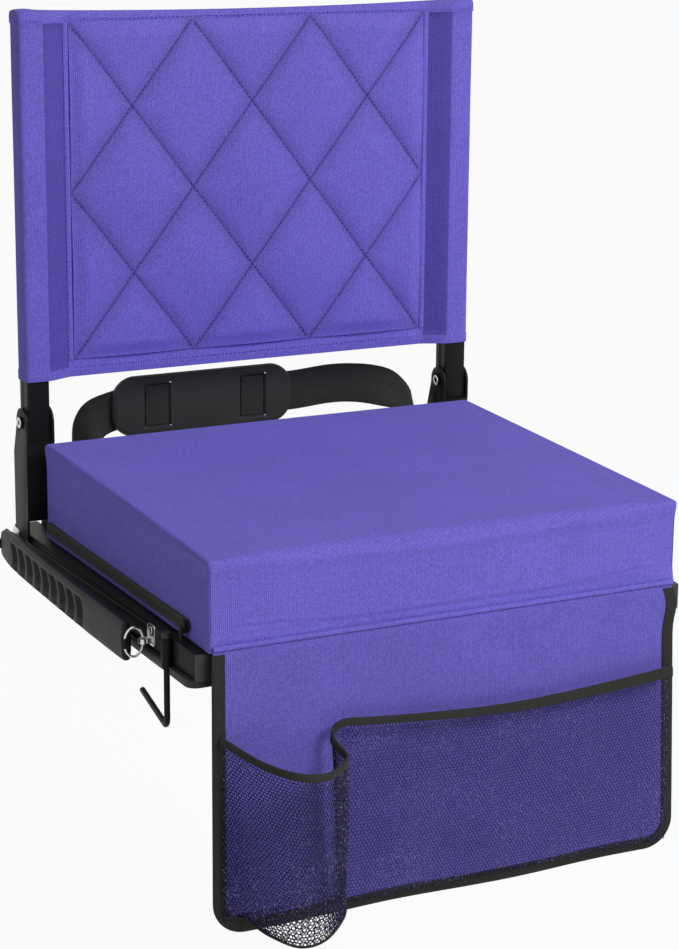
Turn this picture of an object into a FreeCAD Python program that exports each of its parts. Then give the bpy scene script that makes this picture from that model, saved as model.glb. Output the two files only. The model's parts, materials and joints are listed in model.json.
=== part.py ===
"""Padded folding stadium seat with a fold-down back, bench hooks, carry handle, strap and front apron.

Millimetres. The origin is on the bench face, midway between the two skid strips and under the
middle of the cushion. +Z is up, +Y runs to the back and +X is the sitter's left.
"""
import FreeCAD
import Part
import Sketcher
import math
import os

V = FreeCAD.Vector
doc = FreeCAD.newDocument("StadiumSeat")
sheet = doc.addObject("Spreadsheet::Sheet", "Sizes")

SIZES = [
    ("cushion_width", 430.0, "across the seat"),
    ("cushion_depth", 362.0, "front to back"),
    ("cushion_height", 83.0, "at the rear of the crown"),
    ("cushion_fall", 11.0, "front of the top below its rear"),
    ("cushion_crown", 2.0, "rise of the top from corner to middle"),
    ("cushion_edge", 5.0, "radius of the top and bottom edges"),
    ("cushion_corner", 8.0, "radius of the upright corners"),
    ("cushion_draw", 1.4, "how far each side is drawn in at its middle"),
    ("cover_wall", 1.5, "fabric of the cushion cover"),
    ("board_wall", 5.0, "seat board"),
    ("board_inset", 6.0, "board edge inside the cushion edge"),
    ("rail_size", 22.0, "side rail and crossbar square"),
    ("rail_wall", 1.6, "tube wall"),
    ("rail_spacing", 424.0, "between rail centres"),
    ("rail_length", 410.0, "side rail"),
    ("rail_setback", 9.0, "rail front behind the cushion front"),
    ("cap_flange", 3.0, "end cap outside the tube"),
    ("cap_stem", 8.0, "end cap inside the tube"),
    ("skid_height", 6.0, "rubber strip under the rail"),
    ("skid_lip", 4.5, "strip beyond the rail on each side"),
    ("post_size", 20.0, "back post square"),
    ("post_wall", 1.5, "post tube wall"),
    ("post_gap", 18.0, "cushion back to post front"),
    ("post_foot", 24.0, "post below the pivot"),
    ("pivot_rise", 14.0, "pivot above the cushion crown"),
    ("pivot_pin", 6.0, "pivot rivet shank"),
    ("pivot_bore", 6.14, "hole for the pivot rivet"),
    ("bracket_wall", 2.0, "hinge bracket sheet"),
    ("bracket_play", 0.2, "bracket cheek to rail side"),
    ("bracket_depth", 32.0, "bracket cheek front to back"),
    ("bracket_ear", 13.0, "radius of the ear round the pivot"),
    ("web_drop", 17.0, "top of the bracket web below the pivot"),
    ("rivet_pin", 5.0, "bracket rivet shank"),
    ("back_height", 326.0, "back cover"),
    ("back_lift", 52.0, "back cover above the cushion crown"),
    ("sleeve_wall", 1.5, "back cover fabric"),
    ("sleeve_play", 0.3, "back cover to post"),
    ("strip_reach", 21.2, "sleeve edge to the quilt seam"),
    ("panel_wall", 3.5, "middle panel of the back cover"),
    ("quilt_depth", 6.5, "padding of the quilted panel"),
    ("quilt_edge", 4.0, "quilt edge inside the seam"),
    ("quilt_groove", 4.5, "depth of a stitched channel"),
    ("quilt_base", 16.0, "quilt above the cover's bottom edge"),
    ("quilt_top", 12.0, "quilt below the cover's top edge"),
    ("piping_cord", 4.0, "piping beside the quilt"),
    ("hem_height", 11.0, "hem over the top of the back cover"),
    ("brace_height", 16.0, "flat bar between the posts"),
    ("hook_rod", 5.0, "bench hook rod"),
    ("hook_bore", 5.14, "hook sleeve bore"),
    ("hook_sleeve", 9.0, "hook sleeve outside"),
    ("hook_drop", 46.0, "hook arm below the bench face"),
    ("hook_arm", 94.0, "rod axis to the arm's tip"),
    ("hook_bend", 8.0, "bend radius at the rod's middle"),
    ("hook_station", 55.0, "hook behind the cushion front"),
    ("ring_rod", 4.0, "ring wire"),
    ("ring_bore", 4.14, "barrel bore for a ring"),
    ("ring_barrel", 7.4, "barrel outside"),
    ("ring_bar", 13.0, "straight bar of a ring"),
    ("ring_span", 9.2, "between a ring's two bars"),
    ("handle_front", 94.0, "front clip behind the cushion front"),
    ("handle_rear", 409.0, "rear clip behind the cushion front"),
    ("handle_height", 32.0, "grip, top to bottom"),
    ("handle_rise", 2.0, "grip's middle above its end eyes"),
    ("handle_thick", 12.0, "grip, in to out"),
    ("handle_bow", 7.0, "grip bowed out beyond its ends"),
    ("handle_droop", 0.0, "degrees below level at rest"),
    ("apron_width", 430.0, "apron with its binding"),
    ("apron_drop", 232.0, "apron below the cushion"),
    ("apron_wall", 2.4, "apron fabric"),
    ("apron_wave", 2.0, "fold of the apron's lower edge"),
    ("binding_width", 12.0, "binding tape"),
    ("binding_wall", 0.6, "binding over each face"),
    ("pocket_gap", 7.0, "net pocket, inside depth"),
    ("pocket_top", 75.0, "pocket edge below the cushion"),
    ("cup_width", 94.0, "cup pocket across"),
    ("cup_reach", 60.0, "cup pocket out from the apron"),
    ("net_wall", 1.2, "net thickness"),
    ("strap_width", 38.0, "webbing"),
    ("strap_wall", 2.2, "webbing thickness"),
    ("strap_anchor", 344.0, "between the strap's anchors"),
    ("strap_rise", 108.0, "strap above its anchors"),
    ("pad_length", 180.0, "shoulder pad"),
    ("pad_width", 57.0, "shoulder pad"),
    ("pad_wall", 6.0, "shoulder pad"),
]

for row, (alias, number, note) in enumerate(SIZES, start=1):
    sheet.set(f"A{row}", alias)
    sheet.set(f"B{row}", str(number))
    sheet.setAlias(f"B{row}", alias)
    sheet.set(f"C{row}", note)
doc.recompute()


class Dim:
    """A size: its number, and the expression over the sheet's cells that gives it."""

    def __init__(self, text, value):
        self.text = text
        self.value = float(value)

    def __float__(self):
        return self.value

    def __add__(self, other):
        other = dim(other)
        return Dim(f"({self.text} + {other.text})", self.value + other.value)

    def __sub__(self, other):
        other = dim(other)
        return Dim(f"({self.text} - {other.text})", self.value - other.value)

    def __mul__(self, other):
        other = dim(other)
        return Dim(f"({self.text} * {other.text})", self.value * other.value)

    def __truediv__(self, other):
        other = dim(other)
        return Dim(f"({self.text} / {other.text})", self.value / other.value)

    def __neg__(self):
        return Dim(f"(0 - {self.text})", -self.value)

    __radd__ = __add__
    __rmul__ = __mul__

    def __rsub__(self, other):
        return dim(other) - self


def dim(x):
    """Any number or size as a Dim."""
    return x if isinstance(x, Dim) else Dim(repr(float(x)), x)


def cell(alias):
    """The size that one cell of the sheet drives."""
    return Dim(f"Sizes.{alias}", sheet.get(alias))


# Levels and stations that several pieces share.
rail = cell("rail_size")
rail_x = cell("rail_spacing") / 2
rail_out = rail_x + rail / 2
rail_top = cell("skid_height") + rail
seat_z = rail_top + cell("board_wall")
crown_z = seat_z + cell("cushion_height")
front_y = -cell("cushion_depth") / 2
back_y = cell("cushion_depth") / 2
rail_front = front_y + cell("rail_setback")
rail_rear = rail_front + cell("rail_length")
post_y = back_y + cell("post_gap") + cell("post_size") / 2
pivot_z = crown_z + cell("pivot_rise")
post_low = pivot_z - cell("post_foot")
cover_z = crown_z + cell("back_lift")
cover_top = cover_z + cell("back_height")
post_top = cover_top - 4
cheek_in = rail / 2 + cell("bracket_play")
cheek_out = cheek_in + cell("bracket_wall")
web_y = post_y - cell("post_size") / 2 - 0.3
hook_x = rail_out + cell("hook_sleeve") / 2 - 0.5
hook_y = front_y + cell("hook_station")
mid_z = cell("skid_height") + rail / 2
handle_x = -(rail_x + cheek_out + 1.3 + cell("ring_barrel") / 2 - 0.7)
handle_z = mid_z - 2
clip_face = -(rail_x + cheek_out + 1.3)
apron_y = front_y - 2
apron_z = seat_z - 2
bar_y = web_y - cell("bracket_wall") - 1 - rail / 2
strap_y = post_y + rail / 2 + 6
strap_z = mid_z + 1

PARTS = {}


def bind(obj, prop, size):
    """Bind one property to a size."""
    obj.setExpression(prop, dim(size).text)


def place(obj, x=0, y=0, z=0):
    """Bind an object's position."""
    for axis, size in (("x", x), ("y", y), ("z", z)):
        bind(obj, f"Placement.Base.{axis}", size)
    return obj


TURNS = {
    "X": FreeCAD.Rotation(V(0, 1, 0), 90),
    "Y": FreeCAD.Rotation(V(1, 0, 0), -90),
    "Z": FreeCAD.Rotation(),
}


def box(name, lx, ly, lz, x, y, z):
    """A box from its lowest corner."""
    obj = doc.addObject("Part::Box", name)
    bind(obj, "Length", lx)
    bind(obj, "Width", ly)
    bind(obj, "Height", lz)
    return place(obj, x, y, z)


def mid_box(name, lx, ly, lz, x, y, z):
    """A box centred in plan on x, y, standing on z."""
    return box(name, lx, ly, lz, dim(x) - dim(lx) / 2, dim(y) - dim(ly) / 2, z)


def rod(name, across, length, x, y, z, axis="Z"):
    """A cylinder of the given diameter from the centre of its first end."""
    obj = doc.addObject("Part::Cylinder", name)
    bind(obj, "Radius", dim(across) / 2)
    bind(obj, "Height", length)
    obj.Placement = FreeCAD.Placement(V(), TURNS[axis])
    return place(obj, x, y, z)


def fuse(name, *shapes):
    """One solid from several that overlap."""
    obj = doc.addObject("Part::MultiFuse", name)
    obj.Shapes = list(shapes)
    obj.Refine = True
    return obj


def cut(name, base, *tools):
    """A base with its tools taken away."""
    obj = doc.addObject("Part::Cut", name)
    obj.Base = base
    obj.Tool = tools[0] if len(tools) == 1 else fuse(name + "_tools", *tools)
    return obj


def group(name, *shapes):
    """Like pieces that stay separate solids of one sub-part."""
    obj = doc.addObject("Part::Compound", name)
    obj.Links = list(shapes)
    return obj


def part(name, obj):
    """Name a finished sub-part."""
    obj.Label = name
    PARTS[name] = obj
    return obj


def form(name, shape):
    """A sub-part whose form needs lofts or arcs, from sizes read off the sheet."""
    obj = doc.addObject("Part::Feature", name)
    obj.Shape = shape
    return obj


def sketch_loop(sketch, points):
    """A closed outline whose corners are each held by two bound distances."""
    first = sketch.GeometryCount
    count = len(points)
    ends = [V(float(dim(x)), float(dim(y)), 0) for x, y in points]
    for i in range(count):
        sketch.addGeometry(Part.LineSegment(ends[i], ends[(i + 1) % count]), False)
    for i in range(count):
        after = first + (i + 1) % count
        sketch.addConstraint(Sketcher.Constraint("Coincident", first + i, 2, after, 1))
    for i, point in enumerate(points):
        for kind, size in zip(("DistanceX", "DistanceY"), point):
            value = float(dim(size))
            index = sketch.addConstraint(Sketcher.Constraint(kind, -1, 1, first + i, 1, value))
            label = f"{kind[-1]}{first + i}"
            sketch.renameConstraint(index, label)
            sketch.setExpression(f"Constraints.{label}", dim(size).text)


def profile(name, role, loops, length, x=0, y=0, z=0):
    """A body padded from an outline, with any inner loops left hollow."""
    body = doc.addObject("PartDesign::Body", name)
    sketch = body.newObject("Sketcher::SketchObject", name + "_outline")
    plane = [f for f in body.Origin.OriginFeatures if f.Role == role][0]
    sketch.AttachmentSupport = [(plane, "")]
    sketch.MapMode = "FlatFace"
    for points in loops:
        sketch_loop(sketch, points)
    pad = body.newObject("PartDesign::Pad", name + "_pad")
    pad.Profile = sketch
    bind(pad, "Length", length)
    body.Tip = pad
    return place(body, x, y, z)


def square(side):
    """The corners of a centred square."""
    half = dim(side) / 2
    return [(-half, -half), (half, -half), (half, half), (-half, half)]


def tube(name, role, side, wall, length, x, y, z):
    """A square tube: its outline with a hollow."""
    return profile(name, role, [square(side), square(side - wall * 2)], length, x, y, z)


# The base frame.


def side_rails():
    for name, sign in (("left", -1), ("right", 1)):
        node = f"side_rail_{name}"
        body = tube(
            node + "_tube", "XZ_Plane", rail, cell("rail_wall"), cell("rail_length"),
            rail_x * sign, rail_rear, mid_z,
        )
        bores = [
            rod(
                f"{node}_bore{i}", cell("rivet_pin") + 0.2, rail + 4, rail_x * sign - rail / 2 - 2, y,
                mid_z, "X",
            )
            for i, y in enumerate(rivet_stations())
        ]
        if sign < 0:
            for i, y in enumerate(clip_stations()):
                bores.append(rod(f"{node}_screw{i}", 4.2, 6, -rail_out - 2, y, mid_z + 6, "X"))
        part(node, cut(node, body, *bores))


def rivet_stations():
    """Where the two rivets of a bracket cross the rail."""
    return [web_y + 6, web_y + 16]


def clip_stations():
    """Where the handle clips stand along the left rail."""
    return [front_y + cell("handle_front"), front_y + cell("handle_rear")]


def crossbars():
    span = rail_x * 2 - rail
    for name, y in (("front", front_y + 40), ("middle", front_y + 230), ("rear", bar_y)):
        node = f"{name}_crossbar"
        body = tube(node + "_tube", "YZ_Plane", rail, cell("rail_wall"), span, -span / 2, y, mid_z)
        if name == "rear":
            part(node, body)
            continue
        bores = [
            rod(f"{node}_bore{i}", 4.2, rail + 4, x, y, cell("skid_height") - 2)
            for i, x in enumerate((-150, 0, 150))
        ]
        part(node, cut(node, body, *bores))


def end_caps():
    pieces = []
    for name, sign in (("left", -1), ("right", 1)):
        for end, y, turn in (("front", rail_front, -1), ("rear", rail_rear, 1)):
            node = f"cap_{name}_{end}"
            flange_y = y - cell("cap_flange") if turn < 0 else y
            stem_y = y if turn < 0 else y - cell("cap_stem")
            stem_side = rail - cell("rail_wall") * 2 - 0.2
            low = cell("skid_height")
            flange = mid_box(
                node + "_flange", rail, cell("cap_flange"), rail,
                rail_x * sign, flange_y + cell("cap_flange") / 2, low,
            )
            stem = mid_box(
                node + "_stem", stem_side, cell("cap_stem"), stem_side,
                rail_x * sign, stem_y + cell("cap_stem") / 2, low + cell("rail_wall") + 0.1,
            )
            pieces.append(fuse(node, flange, stem))
    part("rail_end_caps", group("rail_end_caps", *pieces))


def skids():
    for name, sign in (("left", -1), ("right", 1)):
        node = f"skid_{name}"
        strip = mid_box(
            node + "_strip", rail + cell("skid_lip") * 2, cell("rail_length"), cell("skid_height"),
            rail_x * sign, rail_front + cell("rail_length") / 2, 0,
        )
        notch = rod(
            node + "_notch", cell("hook_sleeve") + 1, cell("skid_height") + 2, hook_x * sign, hook_y, -1,
        )
        part(node, cut(node, strip, notch))


def seat_board():
    wide = cell("cushion_width") - cell("board_inset") * 2
    deep = cell("cushion_depth") - cell("board_inset") * 2
    slab = mid_box("board_slab", wide, deep, cell("board_wall"), 0, 0, rail_top)
    bores = []
    screws = []
    for i, y in enumerate((front_y + 40, front_y + 230)):
        for j, x in enumerate((-150, 0, 150)):
            bores.append(rod(f"board_bore{i}{j}", 4.2, 5, x, y, rail_top - 1))
            head = rod(f"board_head{i}{j}", 8, 3, x, y, cell("skid_height") - 3)
            shank = rod(f"board_shank{i}{j}", 4, rail + 3.5, x, y, cell("skid_height") - 0.5)
            screws.append(fuse(f"board_screw{i}{j}", head, shank))
    part("base_board", cut("base_board", slab, *bores))
    part("board_screws", group("board_screws", *screws))


# The cushion.


def meet(ca, ra, cb, rb, near):
    """Where two circles cross, the crossing nearer to a point."""
    gap = cb.sub(ca)
    span = gap.Length
    along = (span * span + ra * ra - rb * rb) / (2 * span)
    up = math.sqrt(ra * ra - along * along)
    mid = ca + gap * (along / span)
    side = V(-gap.y, gap.x, 0) * (up / span)
    return min((mid + side, mid - side), key=lambda p: p.sub(near).Length)


def drawn_outline(width, depth, draw, corner):
    """A plan whose four sides bow inwards, tangent to round corners."""
    hw = width / 2
    hd = depth / 2
    rx = (hd * hd + draw * draw) / (2 * draw)
    ry = (hw * hw + draw * draw) / (2 * draw)
    right = V(hw - draw + rx, 0, 0)
    back = V(0, hd - draw + ry, 0)
    centre = meet(right, rx + corner, back, ry + corner, V(hw - corner, hd - corner, 0))

    def toward(a, b, reach):
        step = b.sub(a)
        return a + step * (reach / step.Length)

    p_right = toward(centre, right, corner)
    p_back = toward(centre, back, corner)
    p_mid = toward(centre, centre + V(1, 1, 0), corner)
    flips = ((1, 1), (-1, 1), (-1, -1), (1, -1))
    edges = []
    for i, (fx, fy) in enumerate(flips):
        a, m, b = [V(p.x * fx, p.y * fy, 0) for p in (p_right, p_mid, p_back)]
        if fx * fy < 0:
            a, b = b, a
        edges.append(Part.Arc(a, m, b).toShape())
        gx, gy = flips[(i + 1) % 4]
        start = b
        last = V(p_back.x * gx, p_back.y * gy, 0) if i % 2 == 0 else V(p_right.x * gx, p_right.y * gy, 0)
        middle = V(0, (hd - draw) * fy, 0) if i % 2 == 0 else V((hw - draw) * fx, 0, 0)
        edges.append(Part.Arc(start, middle, last).toShape())
    return Part.Wire(edges)


def cushion_shape(grow):
    """The cushion with its crown, drawn-in sides and rounded edges, grown by an offset."""
    width = float(cell("cushion_width")) + 2 * grow
    depth = float(cell("cushion_depth")) + 2 * grow
    high = float(cell("cushion_height")) + 2 * grow
    crown = float(cell("cushion_crown"))
    fall = float(cell("cushion_fall"))
    draw = float(cell("cushion_draw"))
    edge = float(cell("cushion_edge")) + grow
    corner = float(cell("cushion_corner")) + grow
    low = float(seat_z) - grow
    outline = drawn_outline(width, depth, draw, corner)
    block = Part.Face(outline).extrude(V(0, 0, high))
    reach = math.hypot(width, depth) / 2
    radius = (reach * reach + crown * crown) / (2 * crown)
    lean = math.atan(fall / depth)
    middle = V(0, radius * math.sin(lean), high - fall / 2 - radius * math.cos(lean))
    dome = Part.makeSphere(radius, middle, V(0, 0, 1), 0, 90, 360)
    block = block.common(dome)
    rims = []
    for e in block.Edges:
        flat = e.BoundBox.ZMax < 0.01
        high_rim = e.BoundBox.ZMin > high - crown - fall - 2
        if flat or high_rim:
            rims.append(e)
    block = block.makeFillet(edge, rims)
    block.translate(V(0, 0, low))
    return block.Solids[0]


def cushion():
    wall = float(cell("cover_wall"))
    outer = cushion_shape(0.0)
    core = cushion_shape(-wall)
    part("cushion_cover", form("cushion_cover", outer.cut(core).Solids[0]))
    part("seat_foam", form("seat_foam", cushion_shape(-wall - 0.2)))
    zip_low = float(seat_z) + 2.0
    zip_front = float(front_y) + 37.0
    zip_rear = float(back_y) - float(cell("cushion_corner")) - 3.0
    left = -float(cell("cushion_width")) / 2
    strip = Part.makeBox(6, zip_rear - zip_front, 11, V(left - 2, zip_front, zip_low))
    tape = cushion_shape(1.0).common(strip).cut(outer)
    tape.translate(V(-0.3, 0, 0))
    part("zipper_tape", form("zipper_tape", tape.Solids[0]))
    face = -cell("cushion_width") / 2 - 1.0 - 0.4
    slider_y = front_y + 38
    slider_z = seat_z + 2.5
    lump = box("slider_lump", 3, 9, 10, face - 3, slider_y, slider_z)
    part("zipper_slider", lump)
    tab = box("pull_tab", 1.5, 6, 11, face - 4.5, slider_y + 1.5, seat_z - 3)
    eye = rod("pull_eye", 3, 3, face - 5.2, slider_y + 4.5, seat_z - 0.6, "X")
    part("zipper_pull", cut("zipper_pull", tab, eye))


# The hinges and the back.


def brackets():
    for name, sign in (("left", -1), ("right", 1)):
        node = f"hinge_bracket_{name}"
        low = cell("skid_height") + 4
        deep = cell("bracket_depth")
        wide = cheek_out * 2
        shoulder = pivot_z - cell("web_drop")
        cheek_y = web_y - cell("bracket_wall")
        block = mid_box(
            node + "_block", wide, deep + cell("bracket_wall"), shoulder - low,
            rail_x * sign, cheek_y + (deep + cell("bracket_wall")) / 2, low,
        )
        neck = mid_box(
            node + "_neck", wide, cell("bracket_ear") * 2, cell("web_drop") + 1,
            rail_x * sign, post_y, shoulder - 1,
        )
        ear = rod(
            node + "_ear", cell("bracket_ear") * 2, wide, rail_x * sign - wide / 2, post_y, pivot_z, "X",
        )
        solid = fuse(node + "_solid", block, neck, ear)
        gut = mid_box(
            node + "_gut", cheek_in * 2, deep * 2, pivot_z + 40,
            rail_x * sign, web_y + deep, 0,
        )
        above = mid_box(
            node + "_above", cheek_in * 2, deep * 3, 80,
            rail_x * sign, post_y, shoulder,
        )
        foot = mid_box(
            node + "_foot", wide + 2, cell("bracket_wall") + 4, seat_z + 8,
            rail_x * sign, web_y - cell("bracket_wall") / 2 - 2, 0,
        )
        tools = [gut, above, foot]
        tools.append(
            rod(
                node + "_pivot", cell("pivot_bore"), wide + 4, rail_x * sign - wide / 2 - 2, post_y,
                pivot_z, "X",
            )
        )
        for i, y in enumerate(rivet_stations()):
            tools.append(
                rod(
                    f"{node}_bore{i}", cell("rivet_pin") + 0.2, wide + 4, rail_x * sign - wide / 2 - 2, y,
                    mid_z, "X",
                )
            )
        if sign < 0:
            tools.append(
                rod(node + "_screw", 4.2, 8, -rail_x - cheek_out - 4, clip_stations()[1], mid_z + 6, "X")
            )
        part(node, cut(node, solid, *tools))


def bracket_rivets():
    pieces = []
    for name, sign in (("left", -1), ("right", 1)):
        for i, y in enumerate(rivet_stations()):
            tag = f"rivet_{name}{i}"
            start = rail_x * sign - cheek_out
            shank = rod(tag + "_shank", cell("rivet_pin"), cheek_out * 2 + 2, start - 1, y, mid_z, "X")
            head = rod(tag + "_head", 9, 1.2, start - 1.2, y, mid_z, "X")
            tail = rod(tag + "_tail", 9, 1.2, start + cheek_out * 2, y, mid_z, "X")
            pieces.append(fuse(tag, shank, head, tail))
    part("bracket_rivets", group("bracket_rivets", *pieces))


def pivots():
    rivets = []
    washers = []
    for name, sign in (("left", -1), ("right", 1)):
        tag = f"pivot_{name}"
        start = rail_x * sign - cheek_out
        shank = rod(tag + "_shank", cell("pivot_pin"), cheek_out * 2 + 4, start - 2, post_y, pivot_z, "X")
        head = rod(tag + "_head", 11, 2.2, start - 2.2, post_y, pivot_z, "X")
        tail = rod(tag + "_tail", 11, 2.2, start + cheek_out * 2, post_y, pivot_z, "X")
        bore = rod(tag + "_bore", 3, cheek_out * 2 + 10, start - 5, post_y, pivot_z, "X")
        rivets.append(cut(tag, fuse(tag + "_solid", shank, head, tail), bore))
        room = cheek_in - cell("post_size") / 2
        for side, x in (
            ("in", rail_x * sign - cheek_in + 0.1), ("out", rail_x * sign + cell("post_size") / 2 + 0.3),
        ):
            disc = rod(f"{tag}_disc_{side}", 14, room - 0.4, x, post_y, pivot_z, "X")
            eye = rod(f"{tag}_eye_{side}", cell("pivot_pin") + 0.3, room + 2, x - 1, post_y, pivot_z, "X")
            washers.append(cut(f"{tag}_washer_{side}", disc, eye))
    part("pivot_rivets", group("pivot_rivets", *rivets))
    part("pivot_washers", group("pivot_washers", *washers))


def posts():
    caps = []
    side = cell("post_size")
    for name, sign in (("left", -1), ("right", 1)):
        node = f"back_post_{name}"
        body = tube(
            node + "_tube", "XY_Plane", side, cell("post_wall"), post_top - post_low,
            rail_x * sign, post_y, post_low,
        )
        bore = rod(
            node + "_bore", cell("pivot_bore"), side + 4, rail_x * sign - side / 2 - 2, post_y, pivot_z, "X",
        )
        part(node, cut(node, body, bore))
        inner = side - cell("post_wall") * 2 - 0.2
        lid = mid_box(node + "_lid", side, side, 1.5, rail_x * sign, post_y, post_top)
        plug = mid_box(node + "_plug", inner, inner, 12, rail_x * sign, post_y, post_top - 11.5)
        caps.append(fuse(node + "_cap", lid, plug))
    part("post_top_caps", group("post_top_caps", *caps))
    span = rail_x * 2 - side
    part(
        "back_brace",
        mid_box("back_brace", span, 1.6, cell("brace_height"), 0, post_y, cover_top - 30),
    )


def back_cover():
    play = cell("sleeve_play")
    wall = cell("sleeve_wall")
    half = cell("post_size") / 2 + play
    out = half + wall
    seam = rail_x - out - cell("strip_reach")
    thick = cell("panel_wall") / 2

    def outline(grow):
        g = dim(grow)
        right = [
            (seam, -thick - g), (rail_x - out, -out - g), (rail_x + out + g, -out - g),
            (rail_x + out + g, out + g), (rail_x - out, out + g), (seam, thick + g),
        ]
        left = [(-x, y) for x, y in reversed(right)]
        return right + left

    pocket = [
        (rail_x - half - 14, -0.3), (rail_x - half, -half), (rail_x + half, -half),
        (rail_x + half, half), (rail_x - half, half), (rail_x - half - 14, 0.3),
    ]
    pocket_left = [(-x, y) for x, y in reversed(pocket)]
    body = profile(
        "cover_sleeves", "XY_Plane", [outline(0), pocket, pocket_left],
        cell("back_height") - 2, 0, post_y, cover_z,
    )
    slot = mid_box(
        "cover_slot", rail_x * 2 - half * 2 - 10, 2.2, cell("brace_height") + 1, 0, post_y, cover_top - 30.5,
    )
    part("back_cover", cut("back_cover", body, slot))
    cap = profile(
        "hem_cap", "XY_Plane", [outline(1.4)], cell("hem_height"),
        0, post_y, cover_top - cell("hem_height"),
    )
    room = profile(
        "hem_room", "XY_Plane", [outline(0.2)], cell("hem_height") - 1.4, 0, post_y,
        cover_top - cell("hem_height") - 0.2,
    )
    part("back_top_hem", cut("back_top_hem", cap, room))
    cords = []
    cord = cell("piping_cord")
    long = cell("back_height") - cell("quilt_base") - cell("quilt_top")
    for name, sign in (("left", -1), ("right", 1)):
        cords.append(
            rod(
                f"piping_{name}", cord, long, seam * sign - cord / 4 * sign,
                post_y - thick - cord / 2 - 0.1, cover_z + cell("quilt_base"),
            )
        )
    part("back_piping", group("back_piping", *cords))
    part("back_quilt", form("back_quilt", quilt_shape(float(seam), float(thick))))


def quilt_shape(seam, thick):
    """The quilted pad: a slab with bevelled edges and crossed channels, three diamonds by two."""
    deep = float(cell("quilt_depth"))
    groove = float(cell("quilt_groove"))
    half = seam - float(cell("quilt_edge"))
    low = float(cover_z) + float(cell("quilt_base"))
    high = float(cover_top) - float(cell("quilt_top"))
    rear = float(post_y) - thick
    front = rear - deep
    wide = 2 * half
    tall = high - low
    slab = Part.makeBox(wide, deep, tall, V(-half, front, low))
    rim = [e for e in slab.Edges if e.BoundBox.YMax < front + 0.01]
    slab = slab.makeChamfer(3.5, rim)
    step = V(wide * 2 / 3, 0, -tall)
    tools = []
    for k in range(-1, 3):
        for flip in (1, -1):
            start = V(flip * (-half + wide * k / 3), front, high)
            run = V(step.x * flip, 0, step.z)
            along = V(run.x, 0, run.z).normalize()
            across = V(-along.z, 0, along.x)
            begin = start - along * 30
            corners = [begin + across * 7.5, begin + V(0, groove, 0), begin - across * 7.5]
            corners = [corners[0] + V(0, -0.5, 0), corners[1], corners[2] + V(0, -0.5, 0)]
            tools.append(
                Part.Face(Part.makePolygon(corners + corners[:1])).extrude(along * (run.Length + 60))
            )
    return slab.cut(tools).Solids[0]


# The bench hooks.


def hooks():
    sleeves = []
    for name, sign in (("left", -1), ("right", 1)):
        x = hook_x * sign
        tag = f"hook_sleeve_{name}"
        barrel = rod(tag + "_barrel", cell("hook_sleeve"), rail, x, hook_y, cell("skid_height"))
        bore = rod(tag + "_bore", cell("hook_bore"), rail + 4, x, hook_y, cell("skid_height") - 2)
        flat = mid_box(tag + "_flat", rail, 20, rail + 4, rail_x * sign, hook_y, cell("skid_height") - 2)
        sleeves.append(cut(tag, barrel, bore, flat))
        node = f"bench_hook_{name}"
        wire = cell("hook_rod")
        bend = cell("hook_bend")
        arm_z = -cell("hook_drop")
        stem = rod(node + "_stem", wire, rail_top + 3 - arm_z - bend, x, hook_y, arm_z + bend)
        collar = rod(node + "_collar", 8, 2, x, hook_y, cell("skid_height") - 2.4)
        turn = FreeCAD.Rotation(V(0, 0, 1), 10 * sign)
        crook = doc.addObject("Part::Torus", node + "_crook")
        bind(crook, "Radius1", bend)
        bind(crook, "Radius2", wire / 2)
        crook.Angle3 = 90
        quarter = FreeCAD.Rotation(V(0, 1, 0), -90).multiply(FreeCAD.Rotation(V(0, 0, 1), 180))
        crook.Placement = FreeCAD.Placement(V(), turn.multiply(quarter))
        lean = math.radians(10 * sign)
        ahead = (-math.sin(lean), math.cos(lean))
        place(crook, x + bend * ahead[0], hook_y + bend * ahead[1], arm_z + bend)
        arm = doc.addObject("Part::Cylinder", node + "_arm")
        bind(arm, "Radius", wire / 2)
        bind(arm, "Height", cell("hook_arm") - bend - wire / 2)
        arm.Placement = FreeCAD.Placement(V(), turn.multiply(TURNS["Y"]))
        place(arm, x + bend * ahead[0], hook_y + bend * ahead[1], arm_z)
        tip = doc.addObject("Part::Sphere", node + "_tip")
        bind(tip, "Radius", wire / 2)
        reach = cell("hook_arm") - wire / 2
        place(tip, x + reach * ahead[0], hook_y + reach * ahead[1], arm_z)
        part(node, fuse(node, stem, collar, crook, arm, tip))
        cap_node = f"hook_cap_{name}"
        dome = rod(cap_node + "_dome", 8, 5, x, hook_y, rail_top + 0.3)
        hole = rod(cap_node + "_hole", wire + 0.1, 4, x, hook_y, rail_top - 0.9)
        part(cap_node, cut(cap_node, dome, hole))
    part("hook_sleeves", group("hook_sleeves", *sleeves))


# The carry handle.


def ring(name, turn, x, y, z):
    """A wire ring with two straight bars; its first bar is centred on x, y, z."""
    wire = cell("ring_rod")
    bar = cell("ring_bar")
    span = cell("ring_span")
    first = rod(name + "_first", wire, bar, -bar / 2, 0, 0, "X")
    second = rod(name + "_second", wire, bar, -bar / 2, span, 0, "X")
    bends = []
    for i, (sign, angle) in enumerate(((1, -90), (-1, 90))):
        bend = doc.addObject("Part::Torus", f"{name}_bend{i}")
        bind(bend, "Radius1", span / 2)
        bind(bend, "Radius2", wire / 2)
        bend.Angle3 = 180
        bend.Placement = FreeCAD.Placement(V(), FreeCAD.Rotation(V(0, 0, 1), angle))
        place(bend, bar / 2 * sign, span / 2, 0)
        bends.append(bend)
    loop = fuse(name, first, second, *bends)
    loop.Placement = FreeCAD.Placement(V(), turn)
    return place(loop, x, y, z)


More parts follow.
